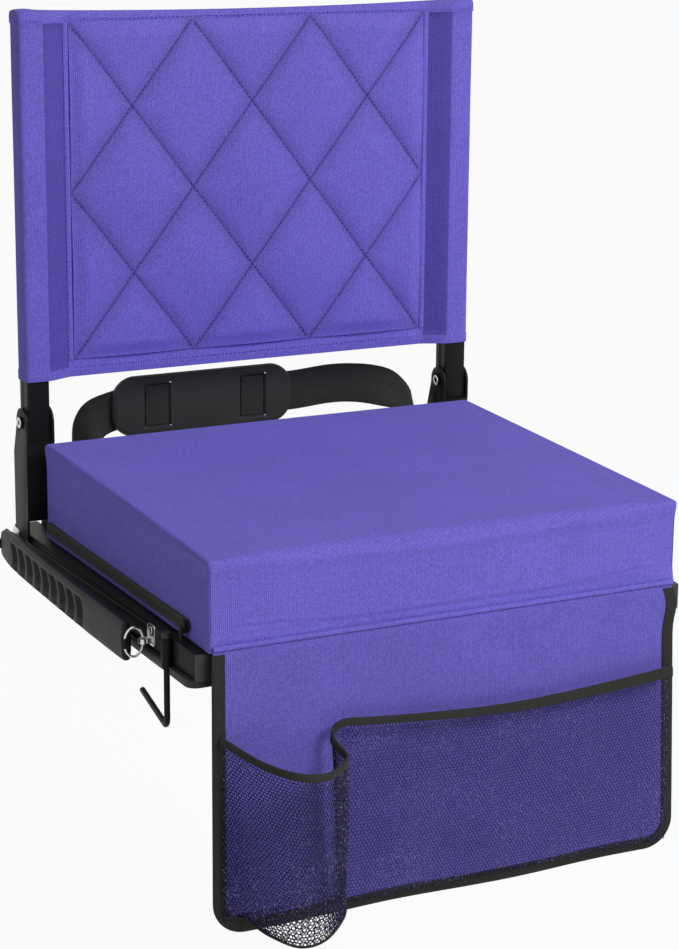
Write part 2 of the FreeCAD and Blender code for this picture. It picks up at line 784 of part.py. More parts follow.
def handle():
    droop = float(cell("handle_droop"))
    swing = FreeCAD.Rotation(V(0, 1, 0), -droop)
    level = FreeCAD.Rotation(V(0, 0, 1), 90)
    rings = []
    screws = []
    faces = (rail_out, rail_x + cheek_out)
    for name, y, face in zip(("front", "rear"), clip_stations(), faces):
        node = f"handle_clip_{name}"
        plate = box(node + "_plate", -face - clip_face, 15, 18, clip_face, y - 7.5, handle_z - 5)
        barrel = rod(node + "_barrel", cell("ring_barrel"), 9, handle_x, y - 4.5, handle_z, "Y")
        bore = rod(node + "_bore", cell("ring_bore"), 20, handle_x, y - 10, handle_z, "Y")
        eye = rod(node + "_eye", 4.2, 12, clip_face - 6, y, mid_z + 6, "X")
        part(node, cut(node, fuse(node + "_solid", plate, barrel), bore, eye))
        rings.append(ring(f"handle_ring_{name}", swing.multiply(level), handle_x, y, handle_z))
        head = rod(f"handle_head_{name}", 7, 2, clip_face - 2, y, mid_z + 6, "X")
        shank = rod(
            f"handle_shank_{name}", 4, -clip_face - rail_out + 6, clip_face - 0.5, y, mid_z + 6, "X",
        )
        drive = mid_box(f"handle_drive_{name}", 2, 4, 0.9, clip_face - 2, y, mid_z + 5.55)
        screws.append(cut(f"handle_screw_{name}", fuse(f"handle_screw_{name}_solid", head, shank), drive))
    part("handle_rings", group("handle_rings", *rings))
    part("handle_screws", group("handle_screws", *screws))
    grip = form("handle_grip", grip_shape())
    pivot = V(float(handle_x), 0, float(handle_z))
    grip.Placement = FreeCAD.Placement(V(), swing, pivot)
    part("handle_grip", grip)


def rounded(x, y, z, thick, tall, corner):
    """A rounded rectangle square to Y, centred on x, z."""
    a = thick / 2
    b = tall / 2
    c = min(corner, a - 0.2, b - 0.2)
    k = c * (1 - math.sqrt(0.5))
    corners = ((1, 1), (-1, 1), (-1, -1), (1, -1))
    edges = []
    spots = []
    for sx, sz in corners:
        first = V(x + sx * a, y, z + sz * (b - c))
        last = V(x + sx * (a - c), y, z + sz * b)
        middle = V(x + sx * (a - k), y, z + sz * (b - k))
        if sx * sz < 0:
            first, last = last, first
        spots.append((first, middle, last))
    for i, (first, middle, last) in enumerate(spots):
        edges.append(Part.Arc(first, middle, last).toShape())
        edges.append(Part.LineSegment(last, spots[(i + 1) % 4][0]).toShape())
    return Part.Wire(edges)


def grip_shape():
    """The moulded grip: end eyes, a bowed body and eight finger ribs on its outer face."""
    axis_x = float(handle_x)
    axis_z = float(handle_z)
    y0, y1 = [float(y) for y in clip_stations()]
    span = float(cell("ring_span"))
    thick = float(cell("handle_thick"))
    tall = float(cell("handle_height"))
    bow = float(cell("handle_bow"))
    rise = float(cell("handle_rise"))
    eye_x = axis_x - span
    far = y1 - y0
    stations = [
        (4.6, 0.0, 6.4, tall - 8), (0.05 * far, 0.06, 7.0, tall - 6),
        (0.14 * far, 0.45, thick - 3, tall - 2),
        (0.3 * far, 0.85, thick - 0.5, tall), (0.55 * far, 1.0, thick, tall),
        (0.8 * far, 0.75, thick - 0.5, tall), (0.92 * far, 0.25, thick - 2, tall - 3),
        (0.965 * far, 0.04, 7.0, tall - 6), (far - 4.6, 0.0, 6.4, tall - 8),
    ]
    wires = [rounded(eye_x - bow * b, y0 + s, axis_z + rise, t, h, 4.0) for s, b, t, h in stations]
    body = Part.makeLoft(wires, True, False)
    for y in (y0, y1):
        start = y - 4.5
        eye = Part.makeCylinder(float(cell("ring_barrel")) / 2, 9, V(eye_x, start, axis_z), V(0, 1, 0))
        body = body.fuse(eye)
        hole = Part.makeCylinder(
            float(cell("ring_bore")) / 2 + 0.1, 9.4, V(eye_x, start - 0.2, axis_z), V(0, 1, 0),
        )
        body = body.cut(hole)
        near = y + 4.4 if y == y0 else y - 14.4
        room = Part.makeBox(span + 5.5, 10.0, 5.4, V(eye_x - 2.7, near, axis_z - 2.7))
        body = body.cut(room)
    first = y0 + 0.4 * far
    pitch = 0.52 * far / 8
    ribs = []
    for i in range(8):
        s = (first + pitch * (i + 0.5) - y0) / far
        bulge = bow * max(0.0, 1.0 - ((s - 0.55) / 0.42) ** 2)
        x = eye_x - bulge - thick / 2 + 2.6
        ribs.append(
            Part.makeCylinder(5.0, tall - 9, V(x, y0 + s * far, axis_z + rise - tall / 2 + 4.5), V(0, 0, 1))
        )
    return body.multiFuse(ribs).removeSplitter().Solids[0]


# The apron with its net pocket and cup pocket.


def apron_slab(grow, low, high):
    """The hanging sheet as a loft from its straight top to its folded lower edge."""
    half = float(cell("apron_width")) / 2
    wall = float(cell("apron_wall")) / 2 + grow
    wave = float(cell("apron_wave"))
    y = float(apron_y)
    xs = [-half, -half / 2, 0.0, half / 2, half]
    bows = (-1.0, 1.0, -1.0, 1.0)

    def outline(z, depth):
        def run(offset, backwards):
            spans = list(zip(xs, xs[1:], bows))
            if backwards:
                spans = [(b, a, s) for a, b, s in reversed(spans)]
            edges = []
            for a, b, s in spans:
                middle = V((a + b) / 2, y + offset + s * depth, z)
                edges.append(Part.Arc(V(a, y + offset, z), middle, V(b, y + offset, z)).toShape())
            return edges

        near = run(-wall, False)
        far = run(wall, True)
        right = Part.LineSegment(V(half, y - wall, z), V(half, y + wall, z)).toShape()
        left = Part.LineSegment(V(-half, y + wall, z), V(-half, y - wall, z)).toShape()
        return Part.Wire(near + [right] + far + [left])

    return Part.makeLoft([outline(high, 0.15), outline(low, wave)], True, True)


def rounded_panel(half, low, high, corner, near, far):
    """A block whose front view is a panel with two round lower corners."""
    k = corner * (1 - math.sqrt(0.5))
    a = V(-half, near, high)
    b = V(-half, near, low + corner)
    c = V(-half + corner, near, low)
    d = V(half - corner, near, low)
    e = V(half, near, low + corner)
    f = V(half, near, high)
    edges = [
        Part.LineSegment(a, b).toShape(),
        Part.Arc(b, V(-half + k, near, low + k), c).toShape(),
        Part.LineSegment(c, d).toShape(),
        Part.Arc(d, V(half - k, near, low + k), e).toShape(),
        Part.LineSegment(e, f).toShape(),
        Part.LineSegment(f, a).toShape(),
    ]
    return Part.Face(Part.Wire(edges)).extrude(V(0, far - near, 0))


def prism(points, near, far):
    """A front-view polygon run from one Y to another."""
    corners = [V(x, near, z) for x, z in points]
    return Part.Face(Part.makePolygon(corners + corners[:1])).extrude(V(0, far - near, 0))


def apron():
    half = float(cell("apron_width")) / 2
    high = float(apron_z)
    low = float(seat_z) - float(cell("apron_drop"))
    tape = float(cell("binding_width"))
    skin = float(cell("binding_wall"))
    y = float(apron_y)
    strip_y = front_y - 0.3
    part(
        "apron_strip",
        mid_box(
            "apron_strip", cell("apron_width") - cell("binding_width") * 2 - 2,
            front_y + cell("board_inset") - strip_y, 2,
            0, (front_y + cell("board_inset") + strip_y) / 2, seat_z - 2.6,
        ),
    )
    sheet_form = apron_slab(0.0, low, high)
    panel = sheet_form.common(rounded_panel(half - 1.0, low + 1.0, high + 1, 26.0, y - 20, y + 20))
    part("apron_panel", form("apron_panel", panel.Solids[0]))
    thick = apron_slab(skin, low, high).common(rounded_panel(half, low, high + 1, 27.0, y - 20, y + 20))
    window = rounded_panel(half - tape, low + tape, high + 5, 15.0, y - 20, y + 20)
    slack = apron_slab(0.1, low, high).common(
        rounded_panel(half - 0.9, low + 0.9, high + 1, 26.1, y - 20, y + 20)
    )
    part("apron_binding", form("apron_binding", thick.cut(window).cut(slack).Solids[0]))
    pockets(half, low, y)


def cup_line(centre, a, b, y, z):
    """Half an oval in plan, as three arcs from left to right round the front."""
    spots = [
        V(centre - a * math.cos(math.radians(t)), y - b * math.sin(math.radians(t)), z)
        for t in range(0, 181, 30)
    ]
    return [Part.Arc(*spots[i:i + 3]).toShape() for i in (0, 2, 4)]


def cup_wire(centre, a, b, y, z, behind=0.0):
    """The half oval closed across its back, which can stand behind its widest line."""
    arcs = cup_line(centre, a, b, y, z)
    corners = [
        V(centre + a, y, z), V(centre + a, y + behind, z),
        V(centre - a, y + behind, z), V(centre - a, y, z),
    ]
    if not behind:
        corners = [corners[0], corners[3]]
    lines = [Part.LineSegment(p, q).toShape() for p, q in zip(corners, corners[1:])]
    return Part.Wire(arcs + lines)


def cup_block(centre, a, b, y, low, high, shrink, behind=0.0, past=0.0):
    """The pouch as a solid: an upright oval that narrows to a bowl at the bottom."""
    levels = [(high + past, 0.0), (low + 24, 1.0), (low - past, 11.0)]
    wires = [cup_wire(centre, a - s - shrink, b - 1.3 * s - shrink, y, z, behind) for z, s in levels]
    return Part.makeLoft(wires, True, True)


def pockets(half, low, y):
    tape = float(cell("binding_width"))
    gap = float(cell("pocket_gap"))
    net = float(cell("net_wall"))
    back = y - float(cell("apron_wall")) / 2 - float(cell("binding_wall")) - float(cell("apron_wave")) - 0.4
    top = float(seat_z) - float(cell("pocket_top"))
    cup_half = float(cell("cup_width")) / 2
    reach = float(cell("cup_reach"))
    centre = -half + 10 + cup_half
    # The wide pocket: a flat net with diamond gaps, held off the sheet by its side and bottom folds.
    x0 = centre + cup_half + 8
    x1 = half - 6
    z0 = low + tape
    edge = [(x0, top), ((x0 + x1) / 2 - 40, top - 8), (x1, top + 1)]
    outline = [(x0, z0), (x1, z0)] + [edge[2], edge[1], edge[0]]
    near = back - gap - net
    corners = [V(x, near, z) for x, z in outline]
    rings = [Part.makePolygon(corners + corners[:1])]
    columns = int((x1 - x0 - 14) / 12.6)
    rows = int((top - 20 - z0 - 6) / 12.6)
    for i in range(columns):
        for j in range(rows):
            cx = x0 + 7 + 12.6 * (i + 0.5)
            cz = z0 + 6 + 12.6 * (j + 0.5)
            spots = [
                V(cx + 4.6, near, cz), V(cx, near, cz + 4.6), V(cx - 4.6, near, cz), V(cx, near, cz - 4.6),
            ]
            rings.append(Part.makePolygon(spots + spots[:1]))
    sheet_net = Part.makeFace(rings, "Part::FaceMakerBullseye").extrude(V(0, net, 0))
    folds = [
        Part.makeBox(x1 - x0, gap, net, V(x0, back - gap, z0)),
        Part.makeBox(net, gap, top - 2 - z0, V(x1 - net, back - gap, z0)),
        Part.makeBox(net, gap, top - 2 - z0, V(x0, back - gap, z0)),
    ]
    part("pocket_net", form("pocket_net", sheet_net.multiFuse(folds).Solids[0]))
    rim = [(x0, top + 1.6), ((x0 + x1) / 2 - 40, top - 6.4), (x1, top + 2.6)]
    base = [(x, z - 10) for x, z in reversed(rim)]
    band = prism(rim + base, near - 1.2, near + net + 1.2)
    lip = [(x, z + 0.2) for x, z in edge]
    foot = [(x, z - 14) for x, z in reversed(lip)]
    slot = prism(lip + foot, near - 0.2, near + net + 0.2)
    part("pocket_binding", form("pocket_binding", band.cut(slot).cut(folds).Solids[0]))
    # The cup pocket bows out in front, with a rim that slopes down to the front.
    bowl = low + 6
    tall = top + 6
    outer = cup_block(centre, cup_half, reach, back, bowl, tall, 0.0)
    inner = cup_block(centre, cup_half, reach, back, bowl, tall, net, 1.0, 1.0)
    slope = 16.0 / reach
    side = [
        V(-400, back + 5, top + 5 * slope), V(-400, back - 80, top - 80 * slope),
        V(-400, back - 80, tall + 20), V(-400, back + 5, tall + 20),
    ]
    above = Part.Face(Part.makePolygon(side + side[:1])).extrude(V(600, 0, 0))
    wall = outer.cut(inner).cut(above)
    part("cup_net", form("cup_net", wall.Solids[0]))
    fat = cup_block(centre, cup_half, reach, back, bowl, tall, -1.2, 0.0, 4.0)
    thin = cup_block(centre, cup_half, reach, back, bowl, tall, net + 1.2, 1.0, 5.0)
    lift = above.copy()
    lift.translate(V(0, 0, 1.5))
    under = [V(p.x, p.y, p.z - 9) for p in side[:2]] + [
        V(-400, back - 80, bowl - 40), V(-400, back + 5, bowl - 40),
    ]
    below = Part.Face(Part.makePolygon(under + under[:1])).extrude(V(600, 0, 0))
    hoop = fat.cut(thin).cut(lift).cut(below)
    room = cup_block(centre, cup_half, reach, back, bowl, tall, -0.2, 2.0)
    core = cup_block(centre, cup_half, reach, back, bowl, tall, net + 0.2, 3.0, 1.0)
    hoop = hoop.cut(room.cut(core).cut(above))
    part("cup_rim_binding", form("cup_rim_binding", hoop.Solids[0]))
    a = cup_half - 11 - 0.0
    b = reach - 14.3
    wires = [cup_wire(centre, a, b, back, bowl - net)]
    for i in range(-8, 9):
        for j in range(1, 8):
            cx = centre + 6.4 * i
            cy = back - 6.4 * j
            if ((abs(cx - centre) + 3.6) / a) ** 2 + ((back - cy + 3.6) / b) ** 2 > 0.94:
                continue
            spots = [
                V(cx + 2.5, cy, bowl - net), V(cx, cy + 2.5, bowl - net), V(cx - 2.5, cy, bowl - net),
                V(cx, cy - 2.5, bowl - net),
            ]
            wires.append(Part.makePolygon(spots + spots[:1]))
    part(
        "cup_base_net",
        form("cup_base_net", Part.makeFace(wires, "Part::FaceMakerBullseye").extrude(V(0, 0, net))),
    )


# The shoulder strap.


def ribbon(stations, grow=0.0):
    """Webbing through stations of a middle point, a run direction and a width direction."""
    wide = float(cell("strap_width")) / 2 + grow
    wall = float(cell("strap_wall")) / 2 + grow
    wires = []
    for point, run, width in stations:
        w = V(width)
        w.normalize()
        n = V(run).cross(w)
        n.normalize()
        corners = [
            point + w * wide + n * wall, point - w * wide + n * wall, point - w * wide - n * wall,
            point + w * wide - n * wall,
        ]
        wires.append(Part.makePolygon(corners + corners[:1]))
    return Part.makeLoft(wires, True, True)


def strap():
    level = float(strap_z) + float(cell("strap_rise"))
    y0 = float(strap_y) + 4.0
    run_y = y0 + 15.0
    anchor = float(cell("strap_anchor")) / 2
    lugs = []
    rings = []
    swivels = []
    for name, sign in (("left", -1), ("right", 1)):
        x = cell("strap_anchor") / 2 * sign
        tag = f"strap_lug_{name}"
        ear = rod(tag + "_ear", 8.6, 4, x - 2, strap_y, strap_z, "X")
        tongue = box(
            tag + "_tongue", 4, strap_y - bar_y - rail / 2, 8.6, x - 2, bar_y + rail / 2, strap_z - 4.3,
        )
        bore = rod(tag + "_bore", cell("ring_bore"), 8, x - 4, strap_y, strap_z, "X")
        lugs.append(cut(tag, fuse(tag + "_solid", ear, tongue), bore))
        upright = FreeCAD.Rotation(V(1, 0, 0), 90)
        rings.append(ring(f"strap_ring_{name}", upright, x, strap_y, strap_z))
        eye_z = strap_z + cell("ring_span")
        eye = rod(f"swivel_eye_{name}", cell("ring_barrel"), 7, x - 3.5, strap_y, eye_z, "X")
        stem = rod(f"swivel_stem_{name}", 6.5, 10, x, strap_y, eye_z + 3)
        frame_box = mid_box(
            f"swivel_frame_{name}", 5, cell("strap_width") + 8, 12, x, strap_y + 4, eye_z + 12.5,
        )
        window = mid_box(
            f"swivel_window_{name}", 9, cell("strap_width") + 1, 5, x, strap_y + 4, eye_z + 15.5,
        )
        hole = rod(f"swivel_hole_{name}", cell("ring_bore") + 0.1, 14, x - 7, strap_y, eye_z, "X")
        swivels.append(
            cut(f"swivel_{name}", fuse(f"swivel_solid_{name}", eye, stem, frame_box), window, hole)
        )
    part("strap_lugs", group("strap_lugs", *lugs))
    part("strap_rings", group("strap_rings", *rings))
    part("strap_swivels", group("strap_swivels", *swivels))
    begin = float(strap_z + cell("ring_span")) + 24.5
    pad_x = -33.0

    def leg(sign, lean, corner):
        """One end of the webbing: up from its swivel, then over and turned on edge."""
        x = anchor * sign
        foot = V(x, y0, begin)
        knee = V(x + lean, y0 + 6, level - corner)
        stations = [(foot, V(0, 0, 1), V(0, 1, 0)), (foot + (knee - foot) * 0.6, V(0, 0, 1), V(0, 1, 0))]
        for i in range(0, 7):
            a = math.radians(15 * i)
            share = math.sin(a / 2) ** 2 * 2
            point = V(
                knee.x - sign * corner * (1 - math.cos(a)),
                knee.y + (run_y - knee.y) * share,
                knee.z + corner * math.sin(a),
            )
            run = V(-sign * math.sin(a), 0, math.cos(a))
            side = V(sign * math.cos(a), 0, math.sin(a))
            turn = math.radians(15 * i)
            stations.append((point, run, V(0, 1, 0) * math.cos(turn) + side * math.sin(turn)))
        return stations

    left = leg(-1, 13.0, 34.0)
    right = leg(1, 13.0, 34.0)
    join = V(pad_x, run_y, level)
    left.append((join - V(0.1, 0, 0), V(1, 0, 0), V(0, 0, 1)))
    right.append((join + V(0.1, 0, 0), V(-1, 0, 0), V(0, 0, 1)))
    part("strap_webbing_left", form("strap_webbing_left", ribbon(left)))
    part("strap_webbing_right", form("strap_webbing_right", ribbon(right)))
    pad_pieces(pad_x, run_y, level)
    wide = float(cell("strap_width"))
    foot, knee = right[0][0], right[2][0]
    glide = Part.makeBox(6, wide + 7, 18, V(-3, -wide / 2 - 3.5, -9))
    glide.Placement = FreeCAD.Placement(foot + (knee - foot) * 0.65, FreeCAD.Rotation(V(0, 0, 1), knee - foot))
    hole = ribbon([(p, V(0, 0, 1), V(0, 1, 0)) for p in (foot, knee)], 0.3)
    part("strap_adjuster", form("strap_adjuster", glide.cut(hole).Solids[0]))


def pad_pieces(pad_x, run_y, level):
    """The moulded pad in front of the webbing, and the two webbing loops that hold it."""
    long = float(cell("pad_length"))
    tall = float(cell("pad_width"))
    thick = float(cell("pad_wall"))
    wide = float(cell("strap_width"))
    wall = float(cell("strap_wall"))
    rear = run_y - wall / 2 - 0.3
    slab = Part.makeBox(long, thick, tall, V(pad_x - long / 2, rear - thick, level - tall / 2))
    corners = [e for e in slab.Edges if e.BoundBox.YLength > thick - 0.01]
    slab = slab.makeFillet(22.0, corners)
    rims = [e for e in slab.Edges if e.BoundBox.YMax < rear - thick + 0.01]
    slab = slab.makeFillet(2.5, rims)
    loops = []
    for sign in (-1, 1):
        middle = pad_x + sign * 50
        for side in (-1, 1):
            slit = Part.makeBox(
                3.2, thick + 2, wide + 1,
                V(middle + side * 11 - 1.6, rear - thick - 1, level - wide / 2 - 0.5),
            )
            slab = slab.cut(slit)
        front = Part.makeBox(24.4, 1.6, wide, V(middle - 12.2, rear - thick - 1.9, level - wide / 2))
        for side in (-1, 1):
            front = front.fuse(
                Part.makeBox(
                    1.6, thick + 2, wide, V(middle + side * 11 - 0.8, rear - thick - 1.9, level - wide / 2),
                )
            )
        loops.append(front.removeSplitter())
    part("strap_pad", form("strap_pad", slab.Solids[0]))
    part("strap_pad_loops", form("strap_pad_loops", Part.makeCompound(loops)))


side_rails()
crossbars()
end_caps()
skids()
seat_board()
cushion()
brackets()
bracket_rivets()
pivots()
posts()
back_cover()
hooks()
handle()
apron()
strap()
doc.recompute()

bad = [o.Label for o in doc.Objects if "Invalid" in o.State or "Error" in o.State]
for name, obj in PARTS.items():
    if obj.Shape.isNull() or not obj.Shape.isValid() or not obj.Shape.Solids:
        bad.append(name)
if bad:
    raise SystemExit(f"failed: {sorted(set(bad))}")

os.makedirs("parts", exist_ok=True)
for name, obj in PARTS.items():
    obj.Shape.exportStep(f"parts/{name}.step")
    print(name, len(obj.Shape.Solids), round(obj.Shape.Volume))
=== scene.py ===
"""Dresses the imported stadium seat: cushion, quilted back, apron with nets, strap, grip and frame finishes."""

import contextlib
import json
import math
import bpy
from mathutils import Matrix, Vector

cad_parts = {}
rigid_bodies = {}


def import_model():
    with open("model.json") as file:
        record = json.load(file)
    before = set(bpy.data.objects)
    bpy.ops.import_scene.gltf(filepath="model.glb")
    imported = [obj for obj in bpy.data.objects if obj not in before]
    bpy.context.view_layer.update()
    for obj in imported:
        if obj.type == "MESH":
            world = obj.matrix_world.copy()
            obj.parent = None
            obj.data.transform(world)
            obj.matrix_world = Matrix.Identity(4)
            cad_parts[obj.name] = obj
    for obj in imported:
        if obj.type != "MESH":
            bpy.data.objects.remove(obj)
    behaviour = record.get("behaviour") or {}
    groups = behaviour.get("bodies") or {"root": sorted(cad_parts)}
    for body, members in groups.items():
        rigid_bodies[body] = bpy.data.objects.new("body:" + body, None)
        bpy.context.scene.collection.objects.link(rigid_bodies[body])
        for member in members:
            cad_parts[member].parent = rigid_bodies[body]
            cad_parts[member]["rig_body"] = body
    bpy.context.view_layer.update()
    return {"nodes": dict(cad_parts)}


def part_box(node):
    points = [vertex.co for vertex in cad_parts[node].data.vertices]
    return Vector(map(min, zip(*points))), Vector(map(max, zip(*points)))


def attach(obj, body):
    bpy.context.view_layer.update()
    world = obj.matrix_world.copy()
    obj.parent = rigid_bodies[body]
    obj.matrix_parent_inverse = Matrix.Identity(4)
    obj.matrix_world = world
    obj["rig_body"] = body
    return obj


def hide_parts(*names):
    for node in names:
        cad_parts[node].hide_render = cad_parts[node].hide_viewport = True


bl_info = {
    "name": "Stadium Seat",
    "version": (1, 0, 0),
    "blender": (4, 5, 0),
    "location": "View3D > Sidebar > Seat",
    "description": "Cloth, webbing, net, grip and frame finishes of a padded folding stadium seat",
    "category": "Object",
}

import bpy
import numpy as np
from mathutils import Matrix, Vector

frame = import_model()
MM = 0.001


def node_box(name):
    """A frame node's lowest and highest corners in millimetres."""
    low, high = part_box(name)
    return np.array(low) / MM, np.array(high) / MM


# Boxes of the frame's nodes, and the posts' places, in millimetres.
SEAT = node_box("cushion_cover")
COVER = node_box("back_cover")
COVER_TOP = node_box("back_top_hem")[1][2]
QUILT = node_box("back_quilt")
POST = node_box("back_post_left")
APRON = node_box("apron_binding")
POCKET = node_box("pocket_net")
CUP = node_box("cup_net")
PAD = node_box("strap_pad")
GRIP = node_box("handle_grip")
ZIP = node_box("zipper_tape")
POST_X = (POST[0][0] + POST[1][0]) / -2
POST_Y = (POST[0][1] + POST[1][1]) / 2

# The apron: how far it hangs below its binding's node, its middle plane, the insets of its side edges,
# the right edge's flare and bulge (size, height, spread), and the corners of the cloth and the tape's
# outer and inner edges.
APRON_HANG = 6.5
APRON_FOOT = APRON[0][2] - APRON_HANG
APRON_Y = SEAT[0][1] - 2.0
EDGE_INSET = (2.0, 5.0)
EDGE_FLARE = 10.0
EDGE_BULGE = (4.5, 15.0, 14.0)
CLOTH_CORNER = 26.0
TAPE_CORNERS = (27.0, 15.0)

# The pockets: points of the cup pocket's rim and foot, the wide pocket's rim in x and z, and
# how far in from its sewn edges the wide net stands away from the cloth.
CUP_RIM = [
    (-206.7, -187.2, -37.8), (-185.5, -215.0, -51.4), (-165.0, -238.0, -56.7), (-137.0, -233.0, -62.5),
    (-110.5, -213.0, -61.9), (-107.8, -204.0, -58.6), (-113.0, -198.2, -52.0), (-115.8, -195.9, -45.0),
    (-113.3, -194.9, -38.6),
]
CUP_FOOT = [
    (-206.0, -187.4, -189.0), (-190.0, -190.0, -192.0), (-178.0, -214.0, -199.0), (-160.0, -231.0, -205.0),
    (-138.0, -232.0, -203.0), (-115.0, -218.0, -194.0), (-106.0, -201.0, -189.0), (-107.0, -190.0, -187.0),
]
POCKET_EDGE = [
    (-104.8, -35.7), (-82.8, -37.8), (-27.0, -42.7), (38.0, -46.0), (95.0, -45.0), (174.0, -40.0),
    (206.0, -37.2),
]
NET_STAND = 9.0

# The carry grip: its ends along Y, its rings (place, reach outwards at each end, half height and wire),
# its tread (start, end and pitch as shares of the length), and outer radius, bore and height of the eyes.
GRIP_ENDS = (-87.0, 228.0)
RING_X = -231.0
RING_Z = 15.0
RING_WIDE = (16.0, 9.5)
RING_TALL = 12.2
RING_WIRE = 1.1
TREAD = (0.27, 0.9)
TREAD_PITCH = 0.068
GRIP_EYE = (3.3, 1.9, 8.0)
CLIP_EYE = (4.0, 2.9, 4.2)
CLIP_THICK = 1.5

# The strap: its swivels' place, the webbing's half width, half thickness and steps, its edge stitches
# (off the middle, spacing and length), the slide's height, and the pad's corners and webbing windows.
SWIVEL_X = 172.0
BELT_HALF = 19.0
BELT_THIN = 1.05
BELT_STEPS = 440
BELT_STITCH = (16.5, 4.6, 3.2)
SLIDE_Z = 78.0
PAD_CORNER = 23.0
PAD_WINDOWS = (-47.0, 50.0)
WINDOW_HALF = (12.6, 20.2)

# The frame: height of the brackets' shoulders and rise of their slope, corners of the skids, and radius,
# depth and bulge of the pivot rivets' rims.
SHOULDER_Z = 113.0
SHOULDER_RISE = 14.0
SKID_CORNER = 9.0
RIM_SIZES = (3.6, 1.3, 0.9)

# The cushion: cells along an edge and in its rim, edge radius, fall to the front, draw of its sides, fade
# of its slack, sewn band, and the pressure and steps of its swelling.
CUSHION_CELLS = 64
CUSHION_RIM = 8
CUSHION_EDGE = 3.6
CUSHION_FALL = 12.5
CUSHION_DRAW = 0.8
CUSHION_FADE = 20.0
CUSHION_SEWN = 9.0
CUSHION_PUSH = 4.0
CUSHION_STEPS = 16

# The back: half thickness of the sleeve between the posts, distance of its seams from the posts' sleeves,
# its rounded corners, its hems, the quilt's diamonds across and down, its edge's fade, and the piping's
# half width and rear face.
COVER_HALF = 1.75
SEAM_INSET = 21.2
COVER_ROUND = 5.0
HEM_LOW = 9.0
HEM_TOP = 12.0
DIAMONDS = (3, 2)
QUILT_FADE = 14.0
WELT_HALF = 2.9
WELT_REAR = 1.9

# The stage, in metres and degrees: the fitted camera, the lamps (place, size and power), the lamps'
# target, the world's light, and the floor's height and glow.
CAMERA_TURN = (26.77, 14.58, 0.47)
CAMERA_PLACE = (-0.94925, -1.8577, 0.64928)
CAMERA_LENS = 94.84
LAMPS = {"key_lamp": ((1.5, -2.5, 2.3), 1.8, 92.0), "fill_lamp": ((-2.6, -1.6, 1.2), 1.6, 2.0)}
LAMP_TARGET = (0, 0, 0.15)
WORLD_LIGHT = 0.30
FLOOR_Z = -0.45
FLOOR_GLOW = 0.93
FLOOR_TONE = (0.86, 0.86, 0.86, 1.0)
WHITE = (1.0, 1.0, 1.0, 1.0)


def shade(red, green, blue):
    """A screen colour, 0 to 255, as the linear colour that a shader takes."""
    parts = [c / 255 for c in (red, green, blue)]
    return tuple(c / 12.92 if c <= 0.04045 else ((c + 0.055) / 1.055) ** 2.4 for c in parts)


def length(name, about, default):
    """A size that a user may change, in metres."""
    return bpy.props.FloatProperty(
        name=name, description=about, default=default, min=0.0, unit="LENGTH", precision=5,
    )


def colour(name, about, default):
    """A colour that a user may change."""
    return bpy.props.FloatVectorProperty(
        name=name, description=about, default=default, size=3, min=0.0, max=1.0, subtype="COLOR",
    )


class SeatSizes(bpy.types.PropertyGroup):
    """Sizes of the cloth, thread and net."""

    weave_pitch: length("Weave", "Thread spacing of the purple cloth", 0.0022)
    tape_pitch: length("Tape weave", "Thread spacing of binding tape and webbing", 0.0016)
    swell: length("Cushion swell", "How far the cushion's cover may swell over its foam", 0.002)
    crown: length("Cushion crown", "Rise of the cushion's top from corner to middle", 0.0012)
    quilt_puff: length("Quilt puff", "Height of a quilted diamond above its stitched lines", 0.0046)
    apron_fold: length("Apron fold", "Depth of the slack folds at the apron's lower edge", 0.002)
    binding_width: length("Binding", "Width of the tape round the apron", 0.0105)
    net_cell: length("Net cell", "Spacing of the net's holes", 0.0032)
    net_strand: length("Net strand", "Thickness of the net's strands", 0.0007)
    stitch_pitch: length("Stitch spacing", "Distance from one stitch to the next", 0.0042)
    stitch_long: length("Stitch", "Length of one stitch", 0.0031)


class SeatColours(bpy.types.PropertyGroup):
    """Colours of the finishes."""

    cloth: colour("Cloth", "Purple polyester", shade(111, 101, 200))
    # Colour of the side strips: the cloth darkened as painted shade in the recessed strips beside the quilted
    # panel.
    side_strip_painted_shade: colour("Side strips", "Single cloth beside the quilted panel", shade(86, 77, 166))
    thread: colour("Thread", "Quilting thread", shade(70, 60, 146))
    tape: colour("Tape", "Binding tape", shade(40, 40, 37))
    webbing: colour("Webbing", "Strap webbing", shade(44, 44, 44))
    net: colour("Net", "Net strands", shade(26, 21, 58))
    paint: colour("Paint", "Powder coat of the steel frame", shade(25, 25, 26))
    bright: colour("Bright steel", "Plated rings, rivets and screws", shade(214, 214, 212))
    rubber: colour("Rubber", "Grip, skids and pad", shade(40, 40, 40))
    plastic: colour("Plastic", "End caps, glide and swivels", shade(46, 46, 46))
    board: colour("Board", "Stained plywood", shade(58, 50, 44))


# Modelling helpers.


def clear_selection():
    """Leave edit mode and deselect everything."""
    active = bpy.context.view_layer.objects.active
    if active and active.mode != "OBJECT":
        bpy.ops.object.mode_set(mode="OBJECT")
    bpy.ops.object.select_all(action="DESELECT")


def activate(obj):
    """Make one object the only selected and active one."""
    clear_selection()
    obj.select_set(True)
    bpy.context.view_layer.objects.active = obj


def named(name):
    """Name the object that was just added or joined."""
    obj = bpy.context.active_object
    obj.name = name
    obj.data.name = name
    return obj


def settle(name):
    """Name the primitive that was just added and put its place into its mesh."""
    bpy.ops.object.transform_apply(location=True, rotation=True, scale=True)
    return named(name)


def add_object(name, data):
    """A new object in the scene."""
    obj = bpy.data.objects.new(name, data)
    bpy.context.scene.collection.objects.link(obj)
    return obj


def start_grid(name, columns, rows):
    """A flat grid from -1 to 1 each way, with its own UV map."""
    clear_selection()
    bpy.ops.mesh.primitive_grid_add(x_subdivisions=columns, y_subdivisions=rows, size=2, calc_uvs=True)
    return named(name)


